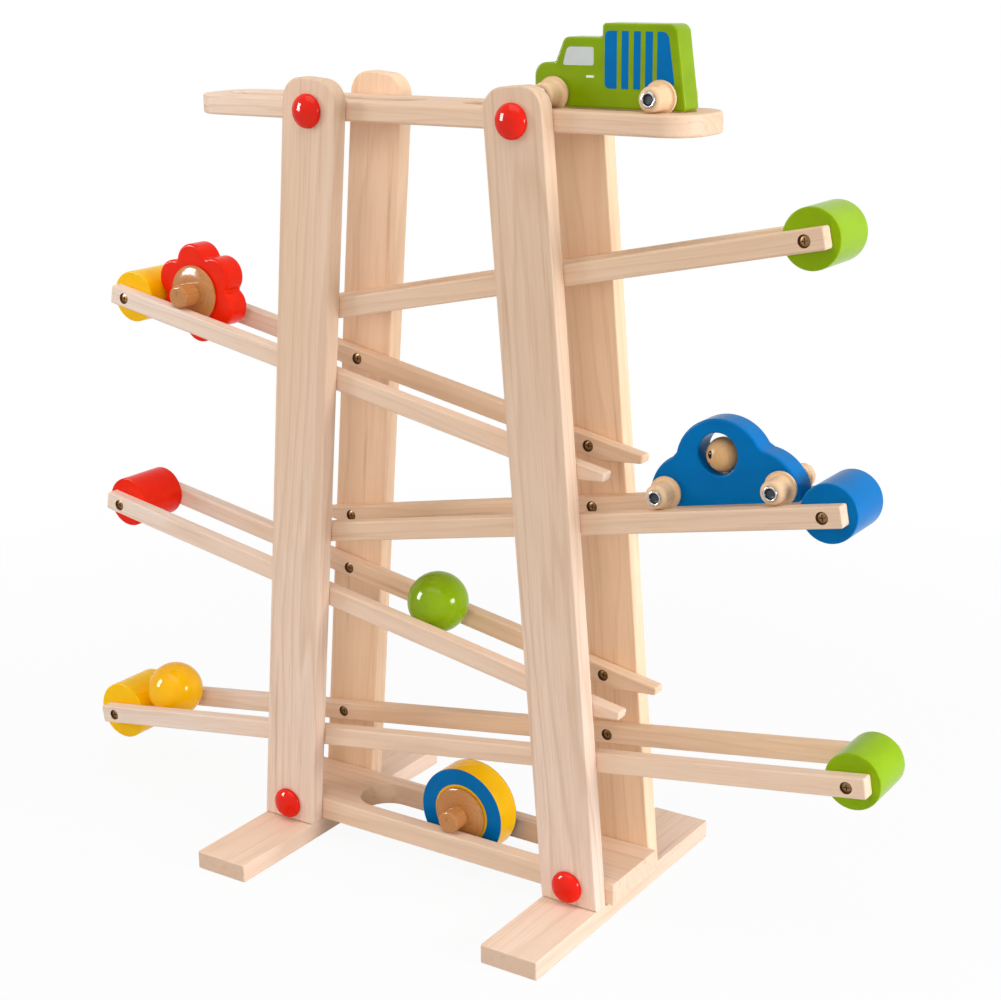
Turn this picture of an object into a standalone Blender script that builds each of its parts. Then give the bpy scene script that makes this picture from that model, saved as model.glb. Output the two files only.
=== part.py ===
"""Wooden marble run: a leaning stand, five sloping tracks, a truck, a car, two rollers and two balls.

Frame: origin on the floor under the middle of the stand, +X along the run to the right,
+Y to the back, +Z up. Metres.
"""
from math import atan, cos, pi, radians, sin, sqrt, tan

import bmesh
import bpy
from mathutils import Matrix, Vector

# Clearance between pieces that touch, rounding of wooden edges and of rails' corners, crisper sawn boards
GAP = 0.0003
EDGE = 0.002
CORNER = 0.0028
SAWN_EDGE = 0.001
SAWN_CORNER = 0.0016

# Stand
BOARD_WIDE = 0.046
BOARD_THICK = 0.014
FOOT_LONG = 0.254
FOOT_X = 0.1295
STAND_TOP = 0.590
UPRIGHT_TOP_X = 0.0824
TOP_ROUND = 0.016
HALF_BAY = 0.0322

# Top deck and base plank
DECK_Z = 0.5585
DECK_THICK = 0.0143
DECK_HALF = 0.2063
DECK_CORNER = 0.024
DECK_SLOT_HALF = 0.0137
DECK_HALF_WEB = 0.019
DECK_END_WALL = 0.0153
PLANK_HALF = 0.1585
PLANK_THICK = 0.0172
PLANK_SLOT_LEFT = -0.0866
PLANK_SLOT_RIGHT = 0.104

# Red caps on their shanks
CAP_R = 0.0120
CAP_HIGH = 0.0078
CAP_LIP = 0.0008
CAP_LOW_Z = 0.0282
CAP_PLACE = 0.52
SHANK_R = 0.002
SHANK_LONG = 0.030

# Tracks, lowest first: slope, distance of the high block from the middle, overhang of the low end
TRACK_LOW = 0.1011
TRACK_STEP = 0.0851
TRACK_DEGREES = (8.52, 10.17, 10.76, 11.17, 11.92)
TRACK1_REACH = 0.3295
TRACK2_REACH = 0.3066
TRACK3_REACH = 0.3045
TRACK4_REACH = 0.2865
TRACK5_REACH = 0.2850
RIGHT_OVERHANG = 0.020
LEFT_OVERHANG = 0.007
TRACK_COLOURS = ("green", "red", "blue", "yellow", "green")
RAIL_HIGH = 0.0145
RAIL_THICK = 0.0105
RAIL_PAST_BLOCK = 0.0134
LOW_CUT = 0.032
LOW_NOSE = 0.006
BLOCK_R = 0.020
LOW_BLOCK_R = 0.024
BLOCK_CHAMFER = 0.0008
SCREW_HOLE_R = 0.0043
SCREW_HOLE_DEEP = 0.0055

# Flanged wheels on metal axle tubes, shared by the truck and the car
BODY_HALF = 0.0094
BODY_EDGE = 0.0016
SIDE_PLAY = 0.0035
WHEEL_PLAY = 0.0008
FLANGE_LONG = 0.0026
FLANGE_R = 0.0114
TREAD_R = 0.0083
AXLE_R = 0.0036
RIM_R = 0.0052
RIM_THICK = 0.0012
RIM_ROUND = 0.0006
WHEEL_ROUND = 0.0030
FLANGE_ROUND = 0.0009
FLANGE_FILLET = 0.0022
TUBE_WALL = 0.0007
TUBE_DEEP = 0.009

# Truck on the deck
TRUCK_NOSE_IN = 0.1277
TRUCK_LONG = 0.1127
TRUCK_HIGH = 0.0538
TRUCK_LIFT = 0.0004
TRUCK_HOOD = 0.0283
TRUCK_ROOF = 0.0448
TRUCK_SCREEN_X = 0.0156
TRUCK_SCREEN_RAKE = 0.0070
TRUCK_BED_X = 0.0510
TRUCK_TAIL_SLANT = 0.0075
TRUCK_NOSE_ROUND = 0.0085
TRUCK_ROOF_ROUND = 0.005
TRUCK_TAIL_ROUND = 0.006
TRUCK_CORNER = 0.0026
TRUCK_FRONT_AXLE = 0.0157
TRUCK_BASE = 0.0797

# Car on the third track
CAR_FROM_BLOCK = 0.0788
CAR_BASE = 0.0425
CAR_AXLE_SHIFT = 0.0009
CAR_DROP = 0.0020
CAR_CORNER = 0.0030
CABIN_R = 0.0326
CABIN_UP = 0.0237
FENDER_R = 0.0314
FENDER_OUT = 0.0240
FENDER_UP = 0.0027
WINDOW_R = 0.0143
WINDOW_UP = 0.0324
HEAD_R = 0.0118
NECK_R = 0.0030
NECK_LONG = 0.007

# Rollers
HUB_R = 0.0218
HUB_DOME = 0.0048
HUB_RIM = 0.0016
HUB_WALL = 0.006
NUB_ROUND = 0.0024
NUB_R = 0.0088
NUB_PLAY = 0.0022
DOWEL_R = 0.004
SLOT_PLAY = 0.0045
FLOWER_HALF = 0.0095
PETALS = 6
PETAL_R = 0.0149
PETAL_OUT = 0.0233
FLOWER_FROM_BLOCK = 0.0514
FLOWER_TURN = radians(47.5)
VALLEY_TURN = 5
DISC_R = 0.036
DISC_HALF = 0.0112
DISC_RIM = 0.0012
DISC_X = 0.0126

# Balls
BALL_R = 0.0231
GREEN_BALL_X = -0.0160

# Fineness of arcs
ARC = 5
TURN = 20

# Heights and depths that follow
DECK_TOP = DECK_Z + DECK_THICK
PLANK_Z = BOARD_THICK + GAP
PLANK_TOP = PLANK_Z + PLANK_THICK
RAIL_OUT = HALF_BAY - GAP
RAIL_IN = RAIL_OUT - RAIL_THICK
RAIL_Y = (RAIL_OUT + RAIL_IN) / 2
CAP_HIGH_Z = DECK_Z + CAP_PLACE * DECK_THICK
PLANK_SLOT_HALF = DISC_HALF + HUB_DOME + SLOT_PLAY
AXLE_HALF = HALF_BAY - SIDE_PLAY
WHEEL_IN = BODY_HALF + WHEEL_PLAY
WHEEL_LONG = AXLE_HALF - RIM_THICK - GAP - WHEEL_IN
TUBE_R = AXLE_R - TUBE_WALL
NUB_END = HALF_BAY - NUB_PLAY
TRUCK_NOSE_X = DECK_HALF - TRUCK_NOSE_IN
TRACK_REACH = (TRACK1_REACH, TRACK2_REACH, TRACK3_REACH, TRACK4_REACH, TRACK5_REACH)
LOW_OVERHANG = (0.0, RIGHT_OVERHANG, LEFT_OVERHANG, RIGHT_OVERHANG, LEFT_OVERHANG)

for item in list(bpy.data.objects):
    bpy.data.objects.remove(item, do_unlink=True)

parts = bpy.data.collections.new("marble_run")
cutters = bpy.data.collections.new("marble_run_cutters")
bpy.context.scene.collection.children.link(parts)
bpy.context.scene.collection.children.link(cutters)


def material(name, colour, rough, metal=0.0):
    """A plain surface of one colour."""
    made = bpy.data.materials.new(name)
    made.use_nodes = True
    shader = made.node_tree.nodes["Principled BSDF"]
    shader.inputs["Base Color"].default_value = (*colour, 1.0)
    shader.inputs["Roughness"].default_value = rough
    shader.inputs["Metallic"].default_value = metal
    return made


WOOD = material("pale_wood", (0.75, 0.52, 0.33), 0.55)
WHEEL_WOOD = material("wheel_wood", (0.72, 0.47, 0.26), 0.5)
WAXED = material("waxed_wood", (0.50, 0.26, 0.10), 0.4)
METAL = material("bright_metal", (0.80, 0.80, 0.82), 0.15, 1.0)
PAINTS = {
    "red": material("red_paint", (0.80, 0.03, 0.01), 0.3),
    "green": material("green_paint", (0.24, 0.46, 0.02), 0.3),
    "yellow": material("yellow_paint", (0.95, 0.52, 0.01), 0.3),
    "blue": material("blue_paint", (0.01, 0.16, 0.50), 0.3),
}


def place(name, mesh, paint, parent=None, at=(0.0, 0.0, 0.0), smooth=35.0):
    """Links a part to the collection, shades it and sets it on its parent."""
    mesh.shade_smooth()
    mesh.set_sharp_from_angle(angle=radians(smooth))
    mesh.materials.clear()
    mesh.materials.append(paint)
    made = bpy.data.objects.new(name, mesh)
    made.location = at
    made.parent = parent
    parts.objects.link(made)
    return made


def empty(name, at, tilt=0.0):
    """A carrier for pieces that share a slope."""
    made = bpy.data.objects.new(name, None)
    made.location = at
    made.rotation_euler = (0.0, tilt, 0.0)
    parts.objects.link(made)
    return made


def cut(target, cutter):
    """Takes one cutter away from a part."""
    modifier = target.modifiers.new("cut_" + cutter.name, "BOOLEAN")
    modifier.operation = "DIFFERENCE"
    modifier.object = cutter


def filled(name, loops, half, rounding=EDGE, upright=True):
    """A flat outline (later loops are holes) with a thickness and rounded rims; upright ones stand in XZ."""
    curve = bpy.data.curves.new(name, "CURVE")
    curve.dimensions = "2D"
    curve.fill_mode = "BOTH"
    curve.extrude = half - rounding
    curve.bevel_depth = rounding
    curve.bevel_resolution = 1
    curve.offset = -rounding
    for loop in loops:
        spline = curve.splines.new("POLY")
        spline.points.add(len(loop) - 1)
        for point, (u, v) in zip(spline.points, loop):
            point.co = (u, v, 0.0, 1.0)
        spline.use_cyclic_u = True
    guide = bpy.data.objects.new(name + "_outline", curve)
    cutters.objects.link(guide)
    bpy.context.view_layer.update()
    graph = bpy.context.evaluated_depsgraph_get()
    mesh = bpy.data.meshes.new_from_object(guide.evaluated_get(graph))
    mesh.name = name
    bpy.data.objects.remove(guide, do_unlink=True)
    shape = bmesh.new()
    shape.from_mesh(mesh)
    bmesh.ops.remove_doubles(shape, verts=shape.verts, dist=0.000005)
    bmesh.ops.dissolve_limit(shape, angle_limit=0.001, verts=shape.verts, edges=shape.edges)
    bmesh.ops.recalc_face_normals(shape, faces=shape.faces)
    shape.to_mesh(mesh)
    shape.free()
    if upright:
        mesh.transform(Matrix.Rotation(pi / 2, 4, "X"))
    return mesh


def turned(name, profile, closed=False, steps=TURN):
    """A lathe-turned mesh about the Y axis; the profile is (radius, height) from the -Y end on."""
    rig = bpy.data.meshes.new(name + "_profile")
    shape = bmesh.new()
    points = [shape.verts.new((r, 0.0, h)) for r, h in profile]
    pairs = list(zip(points, points[1:]))
    if closed:
        pairs.append((points[-1], points[0]))
    for first, second in pairs:
        shape.edges.new((first, second))
    shape.to_mesh(rig)
    shape.free()
    guide = bpy.data.objects.new(name + "_guide", rig)
    cutters.objects.link(guide)
    screw = guide.modifiers.new("turned", "SCREW")
    screw.steps = steps
    screw.render_steps = steps
    screw.use_merge_vertices = True
    screw.merge_threshold = 0.00001
    bpy.context.view_layer.update()
    graph = bpy.context.evaluated_depsgraph_get()
    mesh = bpy.data.meshes.new_from_object(guide.evaluated_get(graph))
    mesh.name = name
    bpy.data.objects.remove(guide, do_unlink=True)
    mesh.transform(Matrix.Rotation(pi / 2, 4, "X"))
    return mesh


def rods(name, places, radius, low, high, parent=None, sides=10):
    """One cutter made of rods along Y through the given (x, z) places."""
    shape = bmesh.new()
    for x, z in places:
        spot = Matrix.Translation((x, (low + high) / 2, z)) @ Matrix.Rotation(pi / 2, 4, "X")
        bmesh.ops.create_cone(shape, cap_ends=True, segments=sides, radius1=radius, radius2=radius,
                              depth=high - low, matrix=spot)
    mesh = bpy.data.meshes.new(name)
    shape.to_mesh(mesh)
    shape.free()
    made = bpy.data.objects.new(name, mesh)
    made.parent = parent
    made.hide_render = True
    made.display_type = "WIRE"
    cutters.objects.link(made)
    return made


def arc(centre, radius, start, end, count=ARC):
    """Points on an arc, ends included; angles in degrees."""
    angles = [radians(start + (end - start) * k / count) for k in range(count + 1)]
    return [(centre[0] + radius * cos(a), centre[1] + radius * sin(a)) for a in angles]


def rounded(corners, steps=3):
    """A closed outline whose corners, given as (x, z, radius), are rounded."""
    points = []
    for k, (x, z, radius) in enumerate(corners):
        here = Vector((x, z))
        back = (Vector(corners[k - 1][:2]) - here).normalized()
        ahead = (Vector(corners[(k + 1) % len(corners)][:2]) - here).normalized()
        half = back.angle(ahead) / 2
        centre = here + (back + ahead).normalized() * (radius / sin(half))
        start = here + back * (radius / tan(half)) - centre
        way = 1 if back.x * ahead.y - back.y * ahead.x < 0 else -1
        for j in range(steps + 1):
            turn = way * (pi - 2 * half) * j / steps
            points.append((centre.x + start.x * cos(turn) - start.y * sin(turn),
                           centre.y + start.x * sin(turn) + start.y * cos(turn)))
    return points


def stadium(left, right, radius, count=2 * ARC):
    """A long hole or board with round ends."""
    return (arc((right - radius, 0.0), radius, -90, 90, count)
            + arc((left + radius, 0.0), radius, 90, 270, count))


def rectangle(half_x, half_y, corner=SAWN_CORNER, steps=2):
    """A board seen from above, with softened corners."""
    return rounded([(-half_x, -half_y, corner), (half_x, -half_y, corner), (half_x, half_y, corner),
                    (-half_x, half_y, corner)], steps)


def upright_x(z):
    """Distance of an upright's centre line from the middle at a height."""
    return FOOT_X + (UPRIGHT_TOP_X - FOOT_X) * (z - BOARD_THICK) / (STAND_TOP - BOARD_THICK)


def side_name(side):
    return "right" if side > 0 else "left"


# Stand: feet, uprights, deck, plank
for side in (-1, 1):
    foot = filled(side_name(side) + "_foot", [rectangle(BOARD_WIDE / 2, FOOT_LONG / 2)], BOARD_THICK / 2,
                  SAWN_EDGE, upright=False)
    place(side_name(side) + "_foot", foot, WOOD, at=(side * FOOT_X, 0.0, BOARD_THICK / 2))

LEAN = atan((FOOT_X - UPRIGHT_TOP_X) / (STAND_TOP - BOARD_THICK))


def upright_outline(side):
    """A board that leans in, cut level at the foot and rounded at the top."""
    low = BOARD_THICK + GAP
    half = BOARD_WIDE / 2
    reach = (STAND_TOP - half * sin(LEAN) - low) / cos(LEAN)
    along = Vector((-sin(LEAN), cos(LEAN)))
    across = Vector((cos(LEAN), sin(LEAN)))
    start = Vector((upright_x(low), low))
    corner = TOP_ROUND
    top = (arc((half - corner, reach - corner), corner, 0, 90)
           + arc((-half + corner, reach - corner), corner, 90, 180))
    points = [start + across * w + along * u for w, u in top]
    points += [start + Vector((-half / cos(LEAN), 0.0)), start + Vector((half / cos(LEAN), 0.0))]
    return [(side * p.x, p.y) for p in points]


cap_places = [(side * upright_x(z), z) for side in (-1, 1) for z in (CAP_LOW_Z, CAP_HIGH_Z)]
shank_end = HALF_BAY + BOARD_THICK - SHANK_LONG
shank_holes = {
    -1: rods("front_shank_holes", cap_places, SHANK_R + GAP, -HALF_BAY - 2 * BOARD_THICK, 3 * GAP - shank_end),
    1: rods("rear_shank_holes", cap_places, SHANK_R + GAP, shank_end - 3 * GAP, HALF_BAY + 2 * BOARD_THICK),
}
for side in (-1, 1):
    for depth, row in ((-1, "front"), (1, "rear")):
        name = row + "_" + side_name(side) + "_upright"
        post = place(name, filled(name, [upright_outline(side)], BOARD_THICK / 2), WOOD,
                     at=(0.0, depth * (HALF_BAY + BOARD_THICK / 2), 0.0))
        cut(post, shank_holes[depth])

deck_loops = [rectangle(DECK_HALF, HALF_BAY - GAP, DECK_CORNER, 7)]
for side in (-1, 1):
    ends = sorted((side * DECK_HALF_WEB, side * (DECK_HALF - DECK_END_WALL)))
    deck_loops.append(stadium(ends[0], ends[1], DECK_SLOT_HALF, 8))
deck = place("top_deck", filled("top_deck", deck_loops, DECK_THICK / 2, upright=False), WOOD,
             at=(0.0, 0.0, DECK_Z + DECK_THICK / 2))

plank_loops = [rectangle(PLANK_HALF, HALF_BAY - GAP),
               stadium(PLANK_SLOT_LEFT, PLANK_SLOT_RIGHT, PLANK_SLOT_HALF, 8)]
plank = place("base_plank", filled("base_plank", plank_loops, PLANK_THICK / 2, SAWN_EDGE, upright=False), WOOD,
              at=(0.0, 0.0, PLANK_Z + PLANK_THICK / 2))
for board in (deck, plank):
    cut(board, shank_holes[-1])
    cut(board, shank_holes[1])


def cap_profile():
    """A cap with a full oval dome on a thin shank; the shank points to the rear."""
    dome = CAP_HIGH - CAP_LIP
    crown = [(CAP_R * sin(pi / 2 * k / 5), CAP_LIP + dome * cos(pi / 2 * k / 5)) for k in range(6)]
    crown[0] = (0.0, CAP_HIGH)
    return crown + [(CAP_R - CAP_LIP, 0.0), (SHANK_R, 0.0), (SHANK_R, -SHANK_LONG), (0.0, -SHANK_LONG)]


cap_mesh = turned("cap", cap_profile(), steps=16)
for side in (-1, 1):
    for z, level in ((CAP_LOW_Z, "lower"), (CAP_HIGH_Z, "upper")):
        for depth, row in ((-1, "front"), (1, "rear")):
            cap = place("cap_" + level + "_" + row + "_" + side_name(side), cap_mesh, PAINTS["red"],
                        at=(side * upright_x(z), depth * (HALF_BAY + BOARD_THICK + GAP), z))
            cap.rotation_euler = (0.0, 0.0, 0.0 if depth < 0 else pi)


def upright_crossing(side, height, slope):
    """Where a track's centre line crosses an upright's centre line."""
    per_metre = (UPRIGHT_TOP_X - FOOT_X) / (STAND_TOP - BOARD_THICK)
    return side * upright_x(height) / (1 - side * per_metre * slope)


def rail_outline(low, high, rising, cut_low):
    """A rail seen from the side, along its own slope; the low end is cut away underneath."""
    top = RAIL_HIGH / 2
    corners = [(low, -top, CORNER), (high, -top, CORNER), (high, top, CORNER), (low, top, CORNER)]
    if cut_low and rising > 0:
        corners[0:1] = [(low, top - LOW_NOSE, CORNER), (low + LOW_CUT, -top, CORNER)]
    elif cut_low:
        corners[1:2] = [(high - LOW_CUT, -top, CORNER), (high, top - LOW_NOSE, CORNER)]
    return rounded(corners, 2)


# Tracks: two rails and their blocks on a shared slope
track_frames = []
for k, (degrees, reach, hang) in enumerate(zip(TRACK_DEGREES, TRACK_REACH, LOW_OVERHANG)):
    rising = 1 if k % 2 == 0 else -1
    height = TRACK_LOW + TRACK_STEP * k
    tilt = radians(degrees)
    rig = empty("track_%d" % (k + 1), (0.0, 0.0, height), -rising * tilt)
    track_frames.append((rig, tilt))
    high_end = reach + RAIL_PAST_BLOCK
    crossings = [upright_crossing(side, height, rising * tan(tilt)) for side in (-1, 1)]
    block_places = [rising * reach]
    low_end = -rising * high_end
    if hang:
        low_cross = crossings[0] if rising > 0 else crossings[1]
        low_end = low_cross - rising * (BOARD_WIDE / 2 + hang)
    else:
        block_places.append(-rising * reach)
    ends = sorted((rising * high_end / cos(tilt), low_end / cos(tilt)))
    outline = rail_outline(ends[0], ends[1], rising, bool(hang))
    post_screws = [(x / cos(tilt), 0.0) for x in crossings]
    block_screws = [(x / cos(tilt), 0.0) for x in block_places]
    for depth, row in ((-1, "front"), (1, "rear")):
        name = "track%d_%s_rail" % (k + 1, row)
        rail = place(name, filled(name, [outline], RAIL_THICK / 2), WOOD, rig, (0.0, depth * RAIL_Y, 0.0))
        inner = sorted((depth * (RAIL_IN + SCREW_HOLE_DEEP), depth * (RAIL_IN - RAIL_THICK)))
        outer = sorted((depth * (RAIL_OUT - SCREW_HOLE_DEEP), depth * (RAIL_OUT + RAIL_THICK)))
        cut(rail, rods(name + "_post_holes", post_screws, SCREW_HOLE_R, inner[0], inner[1], rig))
        cut(rail, rods(name + "_block_holes", block_screws, SCREW_HOLE_R, outer[0], outer[1], rig))
    for x in block_places:
        high = x * rising > 0
        colour = TRACK_COLOURS[k] if high else "yellow"
        half = RAIL_IN - GAP
        size = BLOCK_R if high else LOW_BLOCK_R
        name = "track%d_%s_block" % (k + 1, "high" if high else "low")
        profile = [(0.0, half), (size - BLOCK_CHAMFER, half), (size, half - BLOCK_CHAMFER),
                   (size, BLOCK_CHAMFER - half), (size - BLOCK_CHAMFER, -half), (0.0, -half)]
        place(name, turned(name, profile, steps=28), PAINTS[colour], rig, (x / cos(tilt), 0.0, 0.0))


def wheel_profile():
    """A flanged wheel: the thin flange is inboard, a fillet leads to the tread, the outer end is well rounded."""
    bore = AXLE_R + GAP
    long = WHEEL_LONG
    flange = FLANGE_LONG
    lip = FLANGE_ROUND
    soft = 0.3 * WHEEL_ROUND
    hollow = 0.3 * FLANGE_FILLET
    return [(bore, long), (TREAD_R - WHEEL_ROUND, long), (TREAD_R - soft, long - soft), (TREAD_R, long - WHEEL_ROUND),
            (TREAD_R, flange + FLANGE_FILLET), (TREAD_R + hollow, flange + hollow), (FLANGE_R - lip, flange),
            (FLANGE_R, flange - lip), (FLANGE_R, lip), (FLANGE_R - lip, 0.0), (bore, 0.0)]


def axle_profile():
    """A metal tube with a rolled rim and a hollow at each end."""
    end = AXLE_HALF
    half = [(0.0, end - TUBE_DEEP), (TUBE_R, end - TUBE_DEEP), (TUBE_R + RIM_ROUND, end),
            (RIM_R - RIM_ROUND, end), (RIM_R, end - RIM_THICK), (AXLE_R, end - RIM_THICK)]
    return half + [(r, -h) for r, h in reversed(half)]


wheel_mesh = turned("wheel", wheel_profile(), closed=True)
axle_mesh = turned("axle", axle_profile(), steps=14)


def wheel_set(prefix, rig, places, up):
    """Two axles with a wheel at each end, at the given places along the vehicle."""
    for where, x in places:
        place(prefix + "_" + where + "_axle", axle_mesh, METAL, rig, (x, 0.0, up))
        for depth, row in ((-1, "near"), (1, "far")):
            wheel = place(prefix + "_" + where + "_" + row + "_wheel", wheel_mesh, WHEEL_WOOD, rig,
                          (x, depth * WHEEL_IN, up))
            wheel.rotation_euler = (0.0, 0.0, 0.0 if depth < 0 else pi)


def truck_outline():
    """The truck's side, nose to the left, from its nose and its underside."""
    small = TRUCK_CORNER
    return rounded([(0.0, 0.0, small), (0.0, TRUCK_HOOD, TRUCK_NOSE_ROUND), (TRUCK_SCREEN_X, TRUCK_HOOD, small),
                    (TRUCK_SCREEN_X + TRUCK_SCREEN_RAKE, TRUCK_ROOF, TRUCK_ROOF_ROUND),
                    (TRUCK_BED_X, TRUCK_ROOF, small), (TRUCK_BED_X, TRUCK_HIGH, small),
                    (TRUCK_LONG - TRUCK_TAIL_SLANT, TRUCK_HIGH, TRUCK_TAIL_ROUND), (TRUCK_LONG, 0.0, small)])


# Truck: treads on the deck, flanges down in its slot
truck = empty("truck", (TRUCK_NOSE_X, 0.0, DECK_TOP))
truck_axles = (("front", TRUCK_FRONT_AXLE), ("rear", TRUCK_FRONT_AXLE + TRUCK_BASE))
truck_body = place("truck_body", filled("truck_body", [truck_outline()], BODY_HALF, BODY_EDGE), PAINTS["green"],
                   truck, (0.0, 0.0, TRUCK_LIFT))
wheel_set("truck", truck, truck_axles, TREAD_R + GAP)
cut(truck_body, rods("truck_axle_holes", [(x, TREAD_R + GAP) for _, x in truck_axles], AXLE_R + GAP,
                     -2 * BODY_HALF, 2 * BODY_HALF, truck, 14))


def car_outline():
    """Two round fenders and a round cabin, about the car's middle, from the rail's top."""
    across = FENDER_OUT
    down = FENDER_UP - CABIN_UP
    span = sqrt(across ** 2 + down ** 2)
    along = (CABIN_R ** 2 - FENDER_R ** 2 + span ** 2) / (2 * span)
    off = sqrt(CABIN_R ** 2 - along ** 2)
    valley_x = across * along / span - down * off / span
    valley_z = CABIN_UP + down * along / span + across * off / span
    fender_start = 180 / pi * atan((valley_z - FENDER_UP) / (valley_x - FENDER_OUT))
    if fender_start < 0:
        fender_start += 180
    cabin_start = 180 / pi * atan((valley_z - CABIN_UP) / valley_x)
    tip = FENDER_OUT + FENDER_R
    half = [(tip - CAR_CORNER, -CAR_DROP), (tip - 0.3 * CAR_CORNER, 0.7 * CAR_CORNER - CAR_DROP)]
    half += arc((FENDER_OUT, FENDER_UP), FENDER_R, 0, fender_start - 4, 7)
    half += arc((0.0, CABIN_UP), CABIN_R, cabin_start + 4, 90, 7)
    return half + [(-x, z) for x, z in reversed(half[:-1])]


# Car: flanges between the rails of the third track, treads on them
car_rig, car_tilt = track_frames[2]
rail_top = RAIL_HIGH / 2
car = empty("car", (TRACK3_REACH / cos(car_tilt) - CAR_FROM_BLOCK, 0.0, rail_top))
car.parent = car_rig
window = arc((0.0, WINDOW_UP), WINDOW_R, 360, 0, 20)[:-1]
car_axles = (("front", CAR_AXLE_SHIFT - CAR_BASE), ("rear", CAR_AXLE_SHIFT + CAR_BASE))
car_body = place("car_body", filled("car_body", [car_outline(), window], BODY_HALF, BODY_EDGE), PAINTS["blue"], car)
wheel_set("car", car, car_axles, TREAD_R + GAP)
cut(car_body, rods("car_axle_holes", [(x, TREAD_R + GAP) for _, x in car_axles], AXLE_R + GAP,
                   -2 * BODY_HALF, 2 * BODY_HALF, car, 14))

head_up = WINDOW_UP - WINDOW_R + HEAD_R + 2 * GAP
neck_turn = atan(NECK_R / sqrt(HEAD_R ** 2 - NECK_R ** 2))
head_profile = [(HEAD_R * sin(pi * k / 9), HEAD_R * cos(pi * k / 9)) for k in range(9)]
head_profile[0] = (0.0, HEAD_R)
head_profile += [(NECK_R, -HEAD_R * cos(neck_turn)), (NECK_R, -HEAD_R - NECK_LONG), (0.0, -HEAD_R - NECK_LONG)]
head_mesh = turned("driver_head", head_profile)
head_mesh.transform(Matrix.Rotation(-pi / 2, 4, "X"))
place("driver_head", head_mesh, WHEEL_WOOD, car, (0.0, 0.0, head_up), 50.0)
socket = bmesh.new()
bmesh.ops.create_cone(socket, cap_ends=True, segments=14, radius1=NECK_R + 2 * GAP, radius2=NECK_R + 2 * GAP,
                      depth=2 * NECK_LONG + 2 * GAP, matrix=Matrix.Translation((0.0, 0.0, head_up - HEAD_R)))
socket_mesh = bpy.data.meshes.new("neck_socket")
socket.to_mesh(socket_mesh)
socket.free()
neck_socket = bpy.data.objects.new("neck_socket", socket_mesh)
neck_socket.parent = car
neck_socket.hide_render = True
neck_socket.display_type = "WIRE"
cutters.objects.link(neck_socket)
cut(car_body, neck_socket)


def hub_profile(start):
    """A waxed hub, from the nub's end in to the disc's face, with a blind hole for the dowel."""
    nub = NUB_END - start
    sink = nub - HUB_WALL
    soft = 0.3 * NUB_ROUND
    rise = HUB_DOME - HUB_RIM
    dome = [(NUB_R + (HUB_R - NUB_R) * sin(t), HUB_RIM + rise * cos(t)) for t in (0.0, pi / 8, pi / 4, 3 * pi / 8)]
    return ([(0.0, nub), (NUB_R - NUB_ROUND, nub), (NUB_R - soft, nub - soft), (NUB_R, nub - NUB_ROUND)] + dome
            + [(HUB_R, HUB_RIM), (HUB_R, 0.0), (DOWEL_R + GAP, 0.0), (DOWEL_R + GAP, sink), (0.0, sink)])


def roller(prefix, disc_mesh, paint, half, rig, at):
    """A disc between two hubs on a dowel."""
    place(prefix + "_disc", disc_mesh, paint, rig, at)
    for depth, row in ((-1, "near"), (1, "far")):
        start = half + GAP
        hub = place(prefix + "_" + row + "_hub", turned(prefix + "_" + row + "_hub", hub_profile(start), steps=24),
                    WAXED, rig, (at[0], at[1] + depth * start, at[2]))
        hub.rotation_euler = (0.0, 0.0, 0.0 if depth < 0 else pi)
    reach = NUB_END - HUB_WALL - GAP
    dowel = turned(prefix + "_dowel", [(0.0, reach), (DOWEL_R, reach), (DOWEL_R, -reach), (0.0, -reach)], steps=12)
    place(prefix + "_dowel", dowel, WOOD, rig, at)


def flower_outline():
    """Overlapping round petals about the middle."""
    half_turn = pi / PETALS
    valley = PETAL_OUT * cos(half_turn) + sqrt(PETAL_R ** 2 - (PETAL_OUT * sin(half_turn)) ** 2)
    spread = atan(valley * sin(half_turn) / (valley * cos(half_turn) - PETAL_OUT))
    if spread < 0:
        spread += pi
    points = []
    for k in range(PETALS):
        axis = FLOWER_TURN + 2 * pi * k / PETALS
        centre = (PETAL_OUT * cos(axis), PETAL_OUT * sin(axis))
        middle = axis * 180 / pi
        reach = spread * 180 / pi
        points += arc(centre, PETAL_R, middle - reach + VALLEY_TURN, middle + reach - VALLEY_TURN, 6)
    return points


# Flower roller on the fourth track and disc roller in the base plank
flower_rig, flower_tilt = track_frames[3]
flower_s = (FLOWER_FROM_BLOCK - TRACK4_REACH) / cos(flower_tilt)
bore_loop = arc((0.0, 0.0), DOWEL_R + GAP, 360, 0, 12)[:-1]
flower_mesh = filled("flower_disc", [flower_outline(), bore_loop], FLOWER_HALF)
roller("flower", flower_mesh, PAINTS["red"], FLOWER_HALF, flower_rig, (flower_s, 0.0, rail_top + GAP + NUB_R))

disc_outer = [(DOWEL_R + GAP, DISC_HALF), (DISC_R - DISC_RIM, DISC_HALF),
              (DISC_R - 0.3 * DISC_RIM, DISC_HALF - 0.3 * DISC_RIM), (DISC_R, DISC_HALF - DISC_RIM)]
disc_profile = disc_outer + [(r, -h) for r, h in reversed(disc_outer)]
disc_mesh = turned("disc_disc", disc_profile, closed=True, steps=36)
roller("disc", disc_mesh, PAINTS["yellow"], DISC_HALF, None, (DISC_X, 0.0, PLANK_TOP + GAP + NUB_R))


def ball(name, paint, rig, s):
    """A ball that sinks between the rails until it meets their rounded inner edges."""
    shape = bmesh.new()
    bmesh.ops.create_uvsphere(shape, u_segments=24, v_segments=14, radius=BALL_R)
    mesh = bpy.data.meshes.new(name)
    shape.to_mesh(mesh)
    shape.free()
    place(name, mesh, paint, rig, (s, 0.0, ball_up), 80.0)


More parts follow.
